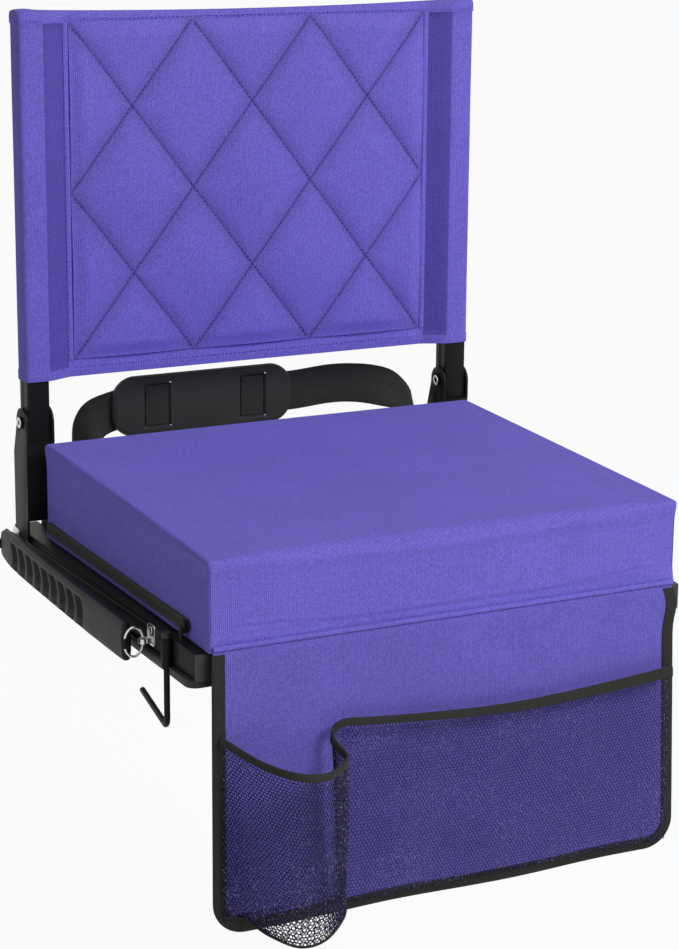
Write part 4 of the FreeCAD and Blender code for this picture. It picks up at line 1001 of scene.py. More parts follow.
def back_sleeve():
    """The cloth sleeve round both posts, hemmed below and closed on top; gives the place of its seams."""
    section, seam = cover_section()
    low, top = COVER[0][2], COVER_TOP
    rows = np.array([
        (low + HEM_LOW, -0.9, 0.0), (low + 1.0, -0.9, 0.0), (low, -0.2, 0.0), (low + 0.4, 0.5, 0.0),
        (low + 8.6, 0.55, 0.0),
        (low + 9.8, 0.0, 0.0), (low + 60, 0.0, 0.0), (low + 160, 0.0, 0.0), (low + 260, 0.0, 0.0),
        (top - 12.2, 0.0, 0.0), (top - 11.0, 0.85, 0.0), (top - 4.0, 0.9, 0.02), (top - 1.6, 0.9, 0.2),
        (top - 0.4, 0.7, 0.55), (top, 0.3, 1.0),
    ])
    fine = []
    for a, b in zip(rows, rows[1:]):
        count = max(1, math.ceil(abs(b[0] - a[0]) / 7.0))
        fine.extend(a + (b - a) * k / count for k in range(count))
    fine = np.array(fine + [rows[-1]])
    ahead = np.gradient(section, axis=0)
    normal = unit(np.stack([-ahead[:, 1], ahead[:, 0]], axis=1))
    if (normal * section).sum() < 0:
        normal = -normal
    table = np.hstack([section, normal])

    def wrap(u, v, w):
        x, y, nx, ny = lookup(u, table)
        z, lift, close = lookup(v, fine)
        x = x + nx * lift
        y = y + ny * lift
        y = y + 0.35 * ripple(x / 40, z / 55, 3) * (1 - close)
        y = y * (1 - 0.96 * close)
        x = np.sign(x) * np.minimum(np.abs(x), COVER[1][0] + 1 - 5.0 * close**2)
        up = ease((z - (top - 60)) / 60)
        sag = 3.0 * np.clip(1 - (x / (POST_X - 14)) ** 2, 0, 1)
        bump = 1.6 * np.exp(-(((np.abs(x) - POST_X - 3) / 10) ** 2))
        z = z - up * sag + up * bump - 1.6 * up
        return x, POST_Y + y, z

    obj = mould(start_grid("back_sleeve", len(section) - 1, len(fine) - 1), wrap)
    strip_uv(obj, run_length(section), top - low)
    weld(obj, 0.00004)
    modify(obj, "SOLIDIFY", thickness=0.0009, offset=-1.0)
    # Faces of the recessed strips beside the quilt take the darker weave: painted shade.
    faces = obj.data.polygons
    strip = []
    for face in faces:
        c = np.array(face.center) / MM
        beside = seam + 1.5 < abs(c[0]) < POST_X - 10.5
        strip.append(beside and c[1] < POST_Y and low + HEM_LOW < c[2] < top - HEM_TOP)
    weaves = ["purple_weave", "side_strip_weave"]
    dress(obj, weaves, "back", "purple_cloth", "back_cover", "back_top_hem", smooth=50)
    for face, dark in zip(faces, strip):
        face.material_index = int(dark)
    run_length(section) * MM
    return seam


def quilt_lines(x, z):
    """How far across the diamonds a point lies, in diamonds, along each of the two slants."""
    wide, tall = QUILT[1][0] - QUILT[0][0], QUILT[1][2] - QUILT[0][2]
    across, down = DIAMONDS
    u = (x - QUILT[0][0]) / (wide / across)
    v = (QUILT[1][2] - z) / (tall / down)
    return (u - v, u + v), math.hypot(across / wide, down / tall)


def quilt_height(x, z):
    """Share of full puff on the quilted panel: none on its crossed lines."""
    lift = 1.0
    for line in quilt_lines(x, z)[0]:
        lift = lift * np.abs(np.sin(np.pi * line))
    return lift ** 0.62


def quilt_painted_shade(x, z):
    """Painted shade in the quilted panel's stitched grooves: 1 on its stitched lines, fading to 0 beside them.
    """
    lines, rate = quilt_lines(x, z)
    off = np.minimum(*(np.abs(line - np.round(line)) / rate for line in lines))
    return 0.55 * np.exp(-((off / 1.0) ** 2)) + 0.22 * np.exp(-((off / 9.0) ** 2))


def back_quilt(sizes):
    """The padded panel, puffed between its crossed lines of stitches."""
    low, high = QUILT
    rear = high[1] - 0.2
    puff = sizes.quilt_puff / MM
    base = high[1] - low[1] - puff

    def pad(u, v, w):
        x = (low[0] + high[0]) / 2 + u * (high[0] - low[0]) / 2
        z = (low[2] + high[2]) / 2 + v * (high[2] - low[2]) / 2
        edge = np.minimum(np.minimum(x - low[0], high[0] - x), np.minimum(z - low[2], high[2] - z))
        rim = 0.35 + 0.65 * ease(edge / QUILT_FADE)
        lift = (base + puff * quilt_height(x, z)) * rim + 0.25 * ripple(x / 22, z / 22, 8) * rim
        return x, np.where(w > -0.5, rear - 0.4 - lift, rear), z

    obj = mould(start_slab("back_quilt_pad", 200, 170), pad)
    weld(obj)
    box_uv(obj)
    co = spots(obj) / MM
    # Painted shade along the stitched grooves, kept as a point attribute for the cloth's colour.
    mark = obj.data.attributes.new("painted_crease_shade", "FLOAT", "POINT")
    mark.data.foreach_set("value", quilt_painted_shade(co[:, 0], co[:, 2]).astype(np.float32))
    dress(obj, "purple_weave", "back", "purple_cloth", "back_quilt", smooth=60)
    wide, tall = high[0] - low[0], high[2] - low[2]
    rows = []
    across, down = DIAMONDS
    inset = 2.5
    t = np.linspace(0, 1, 200)
    z = high[2] - t * tall
    y = np.full(t.shape, rear - 0.4 - base - 0.5)
    for k in range(1 - down, across):
        for flip in (1, -1):
            x = flip * (low[0] + wide * k / across + t * wide * down / across)
            keep = (x > low[0] + inset) & (x < high[0] - inset) & (z > low[2] + inset) & (z < high[2] - inset)
            rows.append((np.stack([x, y, z], axis=1)[keep], (0.0, -1.0, 0.0)))
    sew("quilting_stitches", rows, sizes, "quilting_thread", "back", "purple_cloth", 0.8, 0.8)


def back_seams(sizes, seam):
    """The flat piping beside the quilt, and the stitched lines of the hems."""
    low, high = node_box("back_piping")
    pieces = []
    rear = POST_Y - WELT_REAR
    for sign in (-1, 1):
        def welt(u, v, w, middle=sign * (seam - 1.0)):
            z = low[2] + (v + 1) / 2 * (high[2] - low[2])
            face = 0.5 + 1.5 * np.sqrt(np.clip(1 - u**2, 0, 1))
            return middle + WELT_HALF * u, np.where(w > -0.5, rear - face, rear), z

        pieces.append(mould(start_slab(f"welt_{sign}", 10, 110), welt))
    obj = join("back_piping_welts", pieces)
    complete(obj, "purple_weave", "back", "purple_cloth", "back_piping", smooth=60)
    rows = []
    out = POST_Y - (COVER[1][1] - COVER[0][1]) / 2
    bottom, top = COVER[0][2], COVER_TOP
    facing = (0.0, -1.0, 0.0)
    depth = POST_Y - 3.2
    for sign in (-1, 1):
        for shift in (-2.2, 2.2):
            x = sign * (seam - 1.0) + shift
            rows.append(([(x, depth, low[2] + 2), (x, depth, high[2] - 2)], facing))
    for z, lift in ((bottom + 8.0, 0.6), (top - 10.2, 0.95)):
        post, cloth = out - lift, POST_Y - COVER_HALF - lift
        front = [
            (-POST_X - 7, post, z), (-POST_X + 7, post, z), (-seam, cloth, z), (0, cloth, z),
            (seam, cloth, z), (POST_X - 7, post, z), (POST_X + 7, post, z),
        ]
        behind = [(x, 2 * POST_Y - y, z) for x, y, z in front]
        rows.append((front, facing))
        rows.append((behind, (0.0, 1.0, 0.0)))
    sew("back_hem_stitches", rows, sizes, "quilting_thread", "back", "purple_cloth")


# The apron and its pockets.


def apron_y(x, z, fold):
    """Where the hanging cloth stands: slack folds that grow towards its lower edge."""
    half = APRON[1][0]
    drop = np.clip((APRON[1][2] - z) / (APRON[1][2] - APRON[0][2]), 0, 1)
    wave = fold * np.sin(2 * np.pi * (x + half) / half) - 0.3 * ripple(x / 50, z / 60, 5)
    return APRON_Y - drop * wave


def apron_edge(z, sign, inset):
    """Where the apron's left or right edge stands at a height: the right one flares downwards."""
    drop = np.clip((APRON[1][2] - z) / (APRON[1][2] - APRON[0][2]), 0, 1)
    half = APRON[1][0] - inset
    if sign < 0:
        return half - EDGE_INSET[0]
    size, height, spread = EDGE_BULGE
    bulge = size * np.exp(-(((z - height) / spread) ** 2))
    return half - EDGE_INSET[1] + EDGE_FLARE * drop**0.8 + bulge


def apron_half(z, sign, inset, corner):
    """The apron's reach to its left or right at a height, with its lower corners rounded."""
    low = APRON_FOOT + inset
    depth = np.clip(corner - (z - low), 0, corner)
    return apron_edge(z, sign, inset) - corner + np.sqrt(np.maximum(corner**2 - depth**2, 0))


def apron_outline(inset, corner, count):
    """The apron's side, lower and other side edges as one line of x and z."""
    low, high = APRON_FOOT + inset, APRON[1][2]
    depth = corner * (1 - np.sin(np.radians(np.linspace(0, 90, 16))))
    z = np.concatenate([np.linspace(high, low + corner, 30)[:-1], low + depth])
    left = np.stack([-apron_half(z, -1, inset, corner), z], axis=1)
    right = np.stack([apron_half(z, 1, inset, corner), z], axis=1)
    return spaced(np.vstack([left, right[::-1]]), count)


def apron_cloth(fold):
    """The apron's panel, which hangs in slack folds."""
    low, high = APRON_FOOT, APRON[1][2]

    def hang(u, v, w):
        s = (v + 1) / 2
        z = low + 1.0 + (high - low - 1.0) * s**1.25
        left, right = (apron_half(z, sign, 1.0, CLOTH_CORNER) for sign in (-1, 1))
        x = u * np.where(u < 0, left, right)
        y = apron_y(x, z, fold)
        tuck = ease((z - (high - 3.0)) / 3.0)
        return x, y + 1.2 * tuck - np.where(w > -0.5, 0.55, -0.55), z

    obj = mould(start_slab("apron_cloth", 130, 80), hang)
    # The apron takes the darker copy of the cloth: painted shade.
    complete(obj, "apron_weave", "apron", "purple_cloth", "apron_panel", smooth=60)
    return obj


def apron_tape(sizes, fold):
    """The tape round the apron's sides and lower edge, and its stitches."""
    high = APRON[1][2]
    width = sizes.binding_width / MM
    count = 320
    outer, inner = (apron_outline(inset, corner, count) for inset, corner in zip((0.0, width), TAPE_CORNERS))
    profile = np.array([
        (1.0, 1.25), (0.6, 1.35), (0.12, 1.3), (0.02, 1.0), (-0.03, 0.5), (-0.04, 0.0),
        (-0.03, -0.5), (0.02, -1.0), (0.12, -1.3), (0.6, -1.35), (1.0, -1.25),
    ])

    def tape(u, v, w):
        ox, oz = lookup(u, outer)
        ix, iz = lookup(u, inner)
        share, off = lookup(v, profile)
        x, z = ox + (ix - ox) * share, np.minimum(oz + (iz - oz) * share, high - 2.2)
        return x, apron_y(x, z, fold) + off * (1 + 0.08 * ripple(u * 60, v * 0, 21)), z

    binding = mould(start_grid("apron_edge_tape", count - 1, 20), tape)
    strip_uv(binding, run_length(outer), 2 * width)
    modify(binding, "SOLIDIFY", thickness=0.0005, offset=-1.0)
    weld(binding)
    dress(binding, "binding_tape", "apron", "black_tape", "apron_binding", smooth=50)
    rows = []
    x, z = (outer + (inner - outer) * 0.86).T
    x, z = x[z < high - 3.0], z[z < high - 3.0]
    for side in (-1.0, 1.0):
        y = apron_y(x, z, fold) + side * 1.5
        rows.append((np.stack([x, y, z], axis=1), (0.0, side, 0.0)))
    thread = sew("apron_edge_stitches", rows, sizes, "black_thread", "apron", "black_tape")
    return binding, thread


def apron_strip():
    """The rounded strip along the cushion's foot that the apron is sewn to."""
    high = APRON[1][2]

    def piping(u, v, w):
        x = u * (APRON[1][0] - 3.5)
        belly = np.sqrt(np.clip(1 - v**2, 0, 1))
        face = APRON_Y - 0.6 - 0.8 * belly + 0.15 * ripple(x / 14, v, 4)
        return x, np.where(w > -0.5, face, APRON_Y + 1.6), high + 2.4 + 1.9 * v

    strip = mould(start_slab("apron_sewn_strip", 160, 8), piping)
    complete(strip, "purple_weave", "base", "purple_cloth", "apron_strip", smooth=60)


def apron(sizes):
    """The hanging apron: its cloth, its edge tape and the strip that carries it."""
    fold = sizes.apron_fold / MM
    obj = apron_cloth(fold)
    binding, thread = apron_tape(sizes, fold)
    apron_strip()


def pocket_rim(x):
    """Height of the wide pocket's upper edge, which sags in its middle."""
    line = smooth_path(POCKET_EDGE, 120)
    return np.interp(x, line[:, 0], line[:, 1])


def cup_wall(t, share):
    """The cup pocket's slack wall: t runs from its left end to its right, share from its foot to its rim."""
    foot, rim = smooth_path(CUP_FOOT, 160), smooth_path(CUP_RIM, 160)
    low = np.stack(lookup(2 * t - 1, foot))
    high = np.stack(lookup(2 * t - 1, rim))
    point = low + (high - low) * share
    belly = np.sin(np.pi * np.clip(share, 0, 1)) * np.sin(np.pi * t)
    point[1] = point[1] - belly * (3.0 + 1.6 * np.sin(13.0 * t + 7.0 * share))
    return point


def wide_net(sizes):
    """The wide pocket's net, which stands away from the apron inside its sewn edges."""
    low, high = POCKET[0].copy(), POCKET[1]
    low[2] = APRON_FOOT + sizes.binding_width / MM - 1.0
    front = low[1] + 0.6

    def panel(u, v, w):
        x = low[0] + u * (high[0] - low[0])
        top = pocket_rim(x)
        z = low[2] + v * (top - low[2])
        reach = np.minimum(high[0], apron_edge(z, 1, sizes.binding_width / MM - 2.0))
        x = low[0] + u * (reach - low[0])
        edge = np.minimum(np.minimum(x - low[0], reach - x), z - low[2])
        stand = np.sqrt(np.clip(1 - (1 - np.clip(edge / NET_STAND, 0, 1)) ** 2, 0, 1))
        back = high[1] - 0.7
        y = back + (front - back) * stand + 0.8 * ripple(x / 45, z / 40, 11) * stand
        return x, y, z

    wide, tall = high[0] - low[0], high[2] - low[2]
    obj = mould(start_net("wide_pocket_net", wide, tall, sizes.net_cell / MM), panel)
    knit(obj, sizes.net_strand)
    dress(obj, "net_nylon", "apron", "net", "pocket_net", smooth=80)


def cup_net(sizes):
    """The cup pocket's net: its slack wall, and its wider-knit floor that sags."""
    cell, strand = sizes.net_cell / MM, sizes.net_strand
    around = run_length(np.array(CUP_RIM))
    deep = CUP_RIM[0][2] - CUP_FOOT[0][2]
    sides = mould(start_net("cup_wall_net", around, deep, cell), lambda u, v, w: cup_wall(u, v))
    out = CUP[1][1] - min(p[1] for p in CUP_FOOT)

    def floor(u, v, w):
        t = 0.08 + 0.92 * u
        x, y, z = cup_wall(t, 0.0 * t)
        sag = 3.0 * np.sin(np.pi * t) * np.sin(np.pi * v)
        return x, CUP[1][1] + (y - CUP[1][1]) * v, CUP_FOOT[0][2] + (z - CUP_FOOT[0][2]) * v - sag

    base = mould(start_net("cup_floor_net", run_length(np.array(CUP_FOOT)), out, cell * 2.0), floor)
    knit(sides, strand * 1.5)
    knit(base, strand * 1.7)
    cup = join("cup_pocket_net", [sides, base])
    dress(cup, "net_nylon", "apron", "net", "cup_net", "cup_base_net", smooth=80)


def pocket_tape(sizes):
    """The tape that binds both pockets' rims in one run, and its stitches."""
    front = POCKET[0][1] + 0.6
    xs = np.linspace(POCKET_EDGE[1][0], POCKET_EDGE[-1][0], 12)
    wide = np.stack([xs, np.full(xs.shape, front), pocket_rim(xs)], axis=1)
    turn = [(POCKET_EDGE[0][0], front, POCKET_EDGE[0][1])]
    line = smooth_path(np.vstack([CUP_RIM, turn, wide]), 420)
    for _ in range(24):
        line[1:-1] = (line[:-2] + 2 * line[1:-1] + line[2:]) / 4
    ahead = unit(np.gradient(line, axis=0))
    side = unit(np.stack([-ahead[:, 1], ahead[:, 0], np.zeros(len(line))], axis=1))
    down = unit(np.cross(side, ahead))
    down = unit(np.where(down[:, 2:] > 0, -down, down) - np.array([0.0, 0.0, 0.7]))
    share = np.linspace(0, 1, len(line))
    for _ in range(60):
        side[1:-1] = unit(side[:-2] + 2 * side[1:-1] + side[2:])
        down[1:-1] = unit(down[:-2] + 2 * down[1:-1] + down[2:])
    tall = 5.6 + 3.2 * ease((share - 0.4) / 0.6)
    table = np.hstack([line, side, down * tall[:, None]])
    profile = np.array([
        (0.95, 1.0), (1.05, 0.6), (1.0, 0.2), (0.75, 0.04), (0.0, -0.06),
        (-0.75, 0.04), (-1.0, 0.2), (-1.05, 0.6), (-0.95, 1.0),
    ])

    def tape(u, v, w):
        x, y, z, nx, ny, _, dx, dy, dz = lookup(u, table)
        off, drop = lookup(v, profile)
        return x + nx * off + dx * drop, y + ny * off + dy * drop, z + dz * drop

    obj = mould(start_grid("pocket_edge_tape", len(line) - 1, 16), tape)
    strip_uv(obj, run_length(line), 14.0)
    modify(obj, "SOLIDIFY", thickness=0.0004, offset=-1.0)
    weld(obj)
    dress(obj, "binding_tape", "apron", "black_tape", "pocket_binding", "cup_rim_binding", smooth=50)
    low = line + 0.82 * down * tall[:, None]
    rows = [(low + side * 1.2, side), (low - side * 1.2, -side)]
    sew("pocket_edge_stitches", rows, sizes, "black_thread", "apron", "black_tape")


def cup_seam():
    """The corded seam round the cup pocket's floor."""
    ring = smooth_path(CUP_FOOT, 150)
    ahead = unit(np.gradient(ring, axis=0))
    side = unit(np.cross(ahead, np.array([0.0, 0.0, 1.0])))
    cord = np.hstack([ring, side])

    def seam(u, v, w):
        x, y, z, nx, ny, _ = lookup(u, cord)
        across, up = 1.1 * np.cos(v * np.pi), 1.1 * np.sin(v * np.pi)
        return x + nx * across, y + ny * across, z + up

    obj = mould(start_grid("cup_floor_seam", len(ring) - 1, 10), seam)
    strip_uv(obj, run_length(ring), 8.0)
    weld(obj)
    dress(obj, "binding_tape", "apron", "black_tape", smooth=60)


# The strap.


def belt_end(x):
    """One end of the webbing, from its leg round the swivel's bar and up to its sewn tail."""
    turn = [
        (4.6, 230.6, 57.0), (4.0, 230.0, 51.0), (3.3, 230.0, 46.9), (0.0, 230.0, 45.7),
        (-3.3, 230.0, 46.9), (-4.0, 230.0, 51.0), (-3.0, 230.2, 57.0), (2.2, 231.2, 66.0),
    ]
    return [(x + dx, y, z, 0.0, 1.0, 0.0) for dx, y, z in turn]


def belt_stations():
    """The webbing's middle line and width direction, from the left tail over to the right one.

    Each station is a place, the webbing's tilt and its turn to the rear, both in degrees.
    """
    left = [
        (-163.0, 233.0, 72.0, 89.0, 86.0), (-151.5, 238.0, 90.0, 75.0, 60.0),
        (-148.0, 241.0, 105.0, 48.0, 35.0), (-142.0, 244.0, 116.0, 22.0, 8.0),
        (-129.0, 245.0, 121.5, 8.0, 0.0), (-113.0, 245.0, 124.6, 3.0, 0.0), (-95.0, 245.0, 125.3, 1.0, 0.0),
        (-70.0, 245.0, 125.5, 0.0, 0.0), (-30.0, 245.0, 125.6, 0.0, 0.0), (15.0, 245.0, 125.6, 2.0, 0.0),
    ]
    right = [
        (60.0, 245.0, 126.0, 4.0, 0.0), (100.0, 245.0, 128.5, 0.0, 0.0), (130.0, 245.0, 126.5, -6.0, 0.0),
        (155.0, 244.5, 121.0, -14.0, 12.0), (176.0, 243.0, 113.0, -24.0, 40.0),
        (188.0, 240.0, 102.0, -50.0, 62.0), (183.6, 235.4, 88.0, -80.0, 84.0),
        (177.8, 232.7, 69.6, -90.0, 90.0),
    ]
    rows = belt_end(-SWIVEL_X)[::-1]
    for x, y, z, tilt, turn in left + right:
        a, b = math.radians(tilt), math.radians(turn)
        flat = np.array([-math.sin(a), 0.0, math.cos(a)])
        rows.append((x, y, z, *(flat * math.cos(b) + np.array([0.0, 1.0, 0.0]) * math.sin(b))))
    return np.array(rows + belt_end(SWIVEL_X), float)


def strap_belt():
    """The strap's webbing with its stitched edges, and the slide on it."""
    table = smooth_path(belt_stations(), BELT_STEPS)
    table[:, 3:] = unit(table[:, 3:])
    ahead = unit(np.gradient(table[:, :3], axis=0))
    face = unit(np.cross(ahead, table[:, 3:]))
    table = np.hstack([table, face])

    def web(u, v, w):
        x, y, z, wx, wy, wz, nx, ny, nz = lookup(u, table)
        half = BELT_HALF * v
        thin = BELT_THIN * np.sqrt(np.clip(1 - np.abs(v) ** 14, 0.15, 1))
        off = np.where(w > -0.5, thin, -thin)
        return x + wx * half + nx * off, y + wy * half + ny * off, z + wz * half + nz * off

    obj = mould(start_slab("strap_belt", BELT_STEPS, 16), web)
    strip_uv(obj, run_length(table), 2 * BELT_HALF)
    weld(obj)
    dress(obj, "strap_webbing", "strap", "black_tape", "strap_webbing_left", "strap_webbing_right", smooth=50)
    rows = []
    lift, pitch, long = BELT_STITCH
    free = slice(36, -36)
    for edge in (-lift, lift):
        for sign in (-1, 1):
            line = table[:, :3] + table[:, 3:6] * edge + face * sign * 1.15
            rows.append((line[free], face[free] * sign))
    thread = thread_rows("strap_stitches", rows, pitch, long)
    dress(thread, "black_thread", "strap", "black_tape")
    strap_slide(table)


def strap_slide(table):
    """The three-bar slide on the webbing's right leg: two cheeks, outer bars in front, middle bar behind."""
    row = int(np.argmin(np.abs(table[:, 2] - SLIDE_Z) + np.where(table[:, 0] > 0, 0.0, 500.0)))
    place, wide, out = table[row, :3], table[row, 3:6], table[row, 6:9]
    along = np.cross(out, wide)
    pieces = []
    cheeks = [((-9.0, 19.4, -3.0), (9.0, 22.5, 3.0)), ((-9.0, -22.5, -3.0), (9.0, -19.4, 3.0))]
    outer = [((-9.0, -19.8, 1.2), (-5.0, 19.8, 3.4)), ((5.0, -19.8, 1.2), (9.0, 19.8, 3.4))]
    middle = [((-2.2, -19.8, -3.4), (2.2, 19.8, -1.2))]

    def seat(x, y, z):
        return [place[k] + (along[k] * x + wide[k] * y + out[k] * z) / MM for k in range(3)]

    for low, high in cheeks + outer + middle:
        bar = start_block("slide_bar", low, high)
        round_edges(bar, lambda a, b: True, 0.9, 3)
        mould(bar, seat)
        pieces.append(bar)
    obj = join("strap_slide", pieces)
    box_uv(obj)
    dress(obj, "moulded_plastic", "strap", "black_plastic", "strap_adjuster")


def pad_box():
    """The pad's lowest and highest corners and its middle: it reaches a little further left than its node."""
    low, high = PAD + np.array([(-3.0, 0, 0), (0, 0, 0)])
    return low, high, (low + high) / 2


def strap_pad():
    """The shoulder pad, thin in its two windows."""
    _, high, middle = pad_box()
    half_x, half_z = high[0] - middle[0], high[2] - middle[2]

    def slab(u, v, w):
        x = u * half_x
        over = np.clip(np.abs(x) - (half_x - PAD_CORNER), 0, PAD_CORNER)
        reach = half_z - PAD_CORNER + np.sqrt(np.maximum(PAD_CORNER**2 - over**2, 0.2))
        z = v * reach
        edge = np.minimum(half_x - np.abs(x), reach - np.abs(z))
        rim = np.sqrt(np.clip(1 - (1 - np.clip(edge / 4.5, 0, 1)) ** 2, 0, 1))
        thick = 2.2 + 3.4 * rim
        for at in PAD_WINDOWS:
            inside = np.minimum(WINDOW_HALF[0] - np.abs(x - at), WINDOW_HALF[1] - np.abs(z))
            thick = thick - 2.6 * ease(inside / 1.6 + 0.5)
        return middle[0] + x, np.where(w > -0.5, high[1] - thick, high[1]), middle[2] + z

    obj = mould(start_slab("strap_shoulder_pad", 190, 66), slab)
    complete(obj, "moulded_rubber", "strap", "black_rubber", "strap_pad", smooth=50)


def pad_webbing():
    """The webbing in the pad's windows, and the stitches of the windows and the pad's edge."""
    low, high, middle = pad_box()
    half_x, half_z = high[0] - middle[0], high[2] - middle[2]
    bands, rows = [], []
    facing = (0, -1.0, 0)
    for at in PAD_WINDOWS:
        def band(u, v, w, at=at):
            x = middle[0] + at + 11.4 * u
            bow = 0.5 * (1 - u**2)
            return x, high[1] - 3.0 - np.where(w > -0.5, 1.3 + bow, 0.0), middle[2] + 18.6 * v

        bands.append(mould(start_slab(f"pad_window_{at}", 18, 34), band))
        for z in (-17.0, 17.0):
            ends = (middle[0] + at - 11, middle[0] + at + 11)
            rows.append(([(x, high[1] - 4.7, middle[2] + z) for x in ends], facing))
    webs = join("strap_pad_webbing", bands)
    complete(webs, "strap_webbing", "strap", "black_tape", "strap_pad_loops", smooth=50)
    turn = np.linspace(0, 2 * np.pi, 160)
    over = square_off(np.cos(turn), 0.45) * (half_x - 4.5)
    rise = square_off(np.sin(turn), 0.45) * (half_z - 4.5)
    ring = np.stack([middle[0] + over, np.full(turn.shape, low[1] + 0.3), middle[2] + rise], axis=1)
    thread = thread_rows("strap_pad_stitches", rows + [(ring, facing)], 4.2, 3.0)
    dress(thread, "black_thread", "strap", "black_tape")


def pad_rivets():
    """The small bright rivets beside the pad's windows."""
    _, high, middle = pad_box()
    dots = []
    for at in PAD_WINDOWS:
        for z in (-20.6, 20.6):
            centre = (middle[0] + at + 12.8, high[1] - 5.2, middle[2] + z)
            dot = start_rod("pad_rivet", 1.1, 1.2, centre, "Y", 12)
            round_edges(dot, lambda a, b: max(a[1], b[1]) < high[1] - 5.5, 0.4, 2)
            dots.append(dot)
    rivets = join("strap_pad_rivets", dots)
    box_uv(rivets)
    dress(rivets, "plated_steel", "strap", "bright_steel")


# The grip.


def grip_rows():
    """Stations of the grip along Y: place, bow outwards, thickness and height."""
    shares = [
        (0.005, 0.0, 7.6, 31.0), (0.015, 0.0, 8.2, 32.0), (0.05, 0.02, 9.0, 33.0), (0.14, 0.3, 10.6, 33.0),
        (0.3, 0.85, 12.4, 33.0), (0.4, 0.95, 12.8, 33.0), (0.55, 1.0, 13.0, 33.0), (0.7, 0.93, 13.0, 33.0),
        (0.8, 0.75, 12.6, 33.0), (0.88, 0.45, 12.0, 32.0), (0.93, 0.25, 11.0, 30.0),
        (0.985, 0.04, 8.4, 26.0), (1.008, 0.0, 6.0, 20.0),
    ]
    front, rear = GRIP_ENDS
    return smooth_path([(front + s * (rear - front), b, t, h) for s, b, t, h in shares], 220)


def tube(name, outer, bore, tall, centre):
    """A short upright tube with broken edges."""
    clear_selection()
    bpy.ops.mesh.primitive_cylinder_add(
        vertices=28, radius=outer * MM, depth=tall * MM, end_fill_type="NOTHING",
        location=np.array(centre) * MM,
    )
    obj = settle(name)
    modify(obj, "SOLIDIFY", thickness=(outer - bore) * MM, offset=-1.0)
    modify(obj, "BEVEL", width=0.0004, segments=2, limit_method="ANGLE")
    return obj


def handle_grip():
    """The moulded grip: bowed outwards, with a tread of curved grooves and an eye at each end."""
    front, rear = GRIP_ENDS
    rows = grip_rows()
    height = (GRIP[0][2] + GRIP[1][2]) / 2 - 2.0

    def body(u, v, w):
        y, bow, thick, tall = lookup(u, rows)
        cx, cz = square_off(np.cos(v * np.pi), 0.55), square_off(np.sin(v * np.pi), 0.55)
        share = (y - front) / (rear - front)
        ends = ease((1 - np.abs(u)) / 0.012)
        outer = np.clip(-cx, 0, 1)
        band = ease((cz + 0.99) / 0.2) * ease((0.72 - cz) / 0.2)
        zone = ease((share - TREAD[0]) / 0.03) * ease((TREAD[1] - share) / 0.03)
        phase = (share - 0.295) / TREAD_PITCH + 0.45 * (1 - ((cz + 0.13) / 0.86) ** 2)
        groove = np.clip(1.3 * (0.5 - 0.5 * np.cos(2 * np.pi * phase)) - 0.15, 0, 1)
        dent = outer * band * zone * (0.2 + 3.8 * groove)
        shelf = outer * ease((cz - 0.7) / 0.16) * zone * 0.8
        middle = RING_X + 3.0 - RING_WIDE[0] + (RING_WIDE[0] - RING_WIDE[1]) * share
        under = np.clip(cx, 0, 1) * ease((-cz - 0.15) / 0.6) * ease((share - 0.5) / 0.3) * 3.4
        x = middle - 0.6 * bow + cx * thick / 2 * (0.5 + 0.5 * ends) + dent - shelf - under
        return x, y, height + cz * tall / 2 * (0.8 + 0.2 * ends)

    obj = mould(start_grid("grip_body", 330, 72), body)
    weld(obj)
    with editing(obj, "DESELECT"):
        bpy.ops.mesh.select_non_manifold(
            extend=False, use_boundary=True, use_wire=False, use_multi_face=False,
        )
        bpy.ops.mesh.edge_face_add()
    eyes = [tube("grip_eye", *GRIP_EYE, (RING_X - d, y, RING_Z)) for d, y in zip(RING_WIDE, GRIP_ENDS)]
    grip = join("carry_grip", [obj] + eyes)
    weld(grip, 0.000005)
    box_uv(grip)
    dress(grip, "grip_rubber", "handle", "black_rubber", "handle_grip", smooth=50)


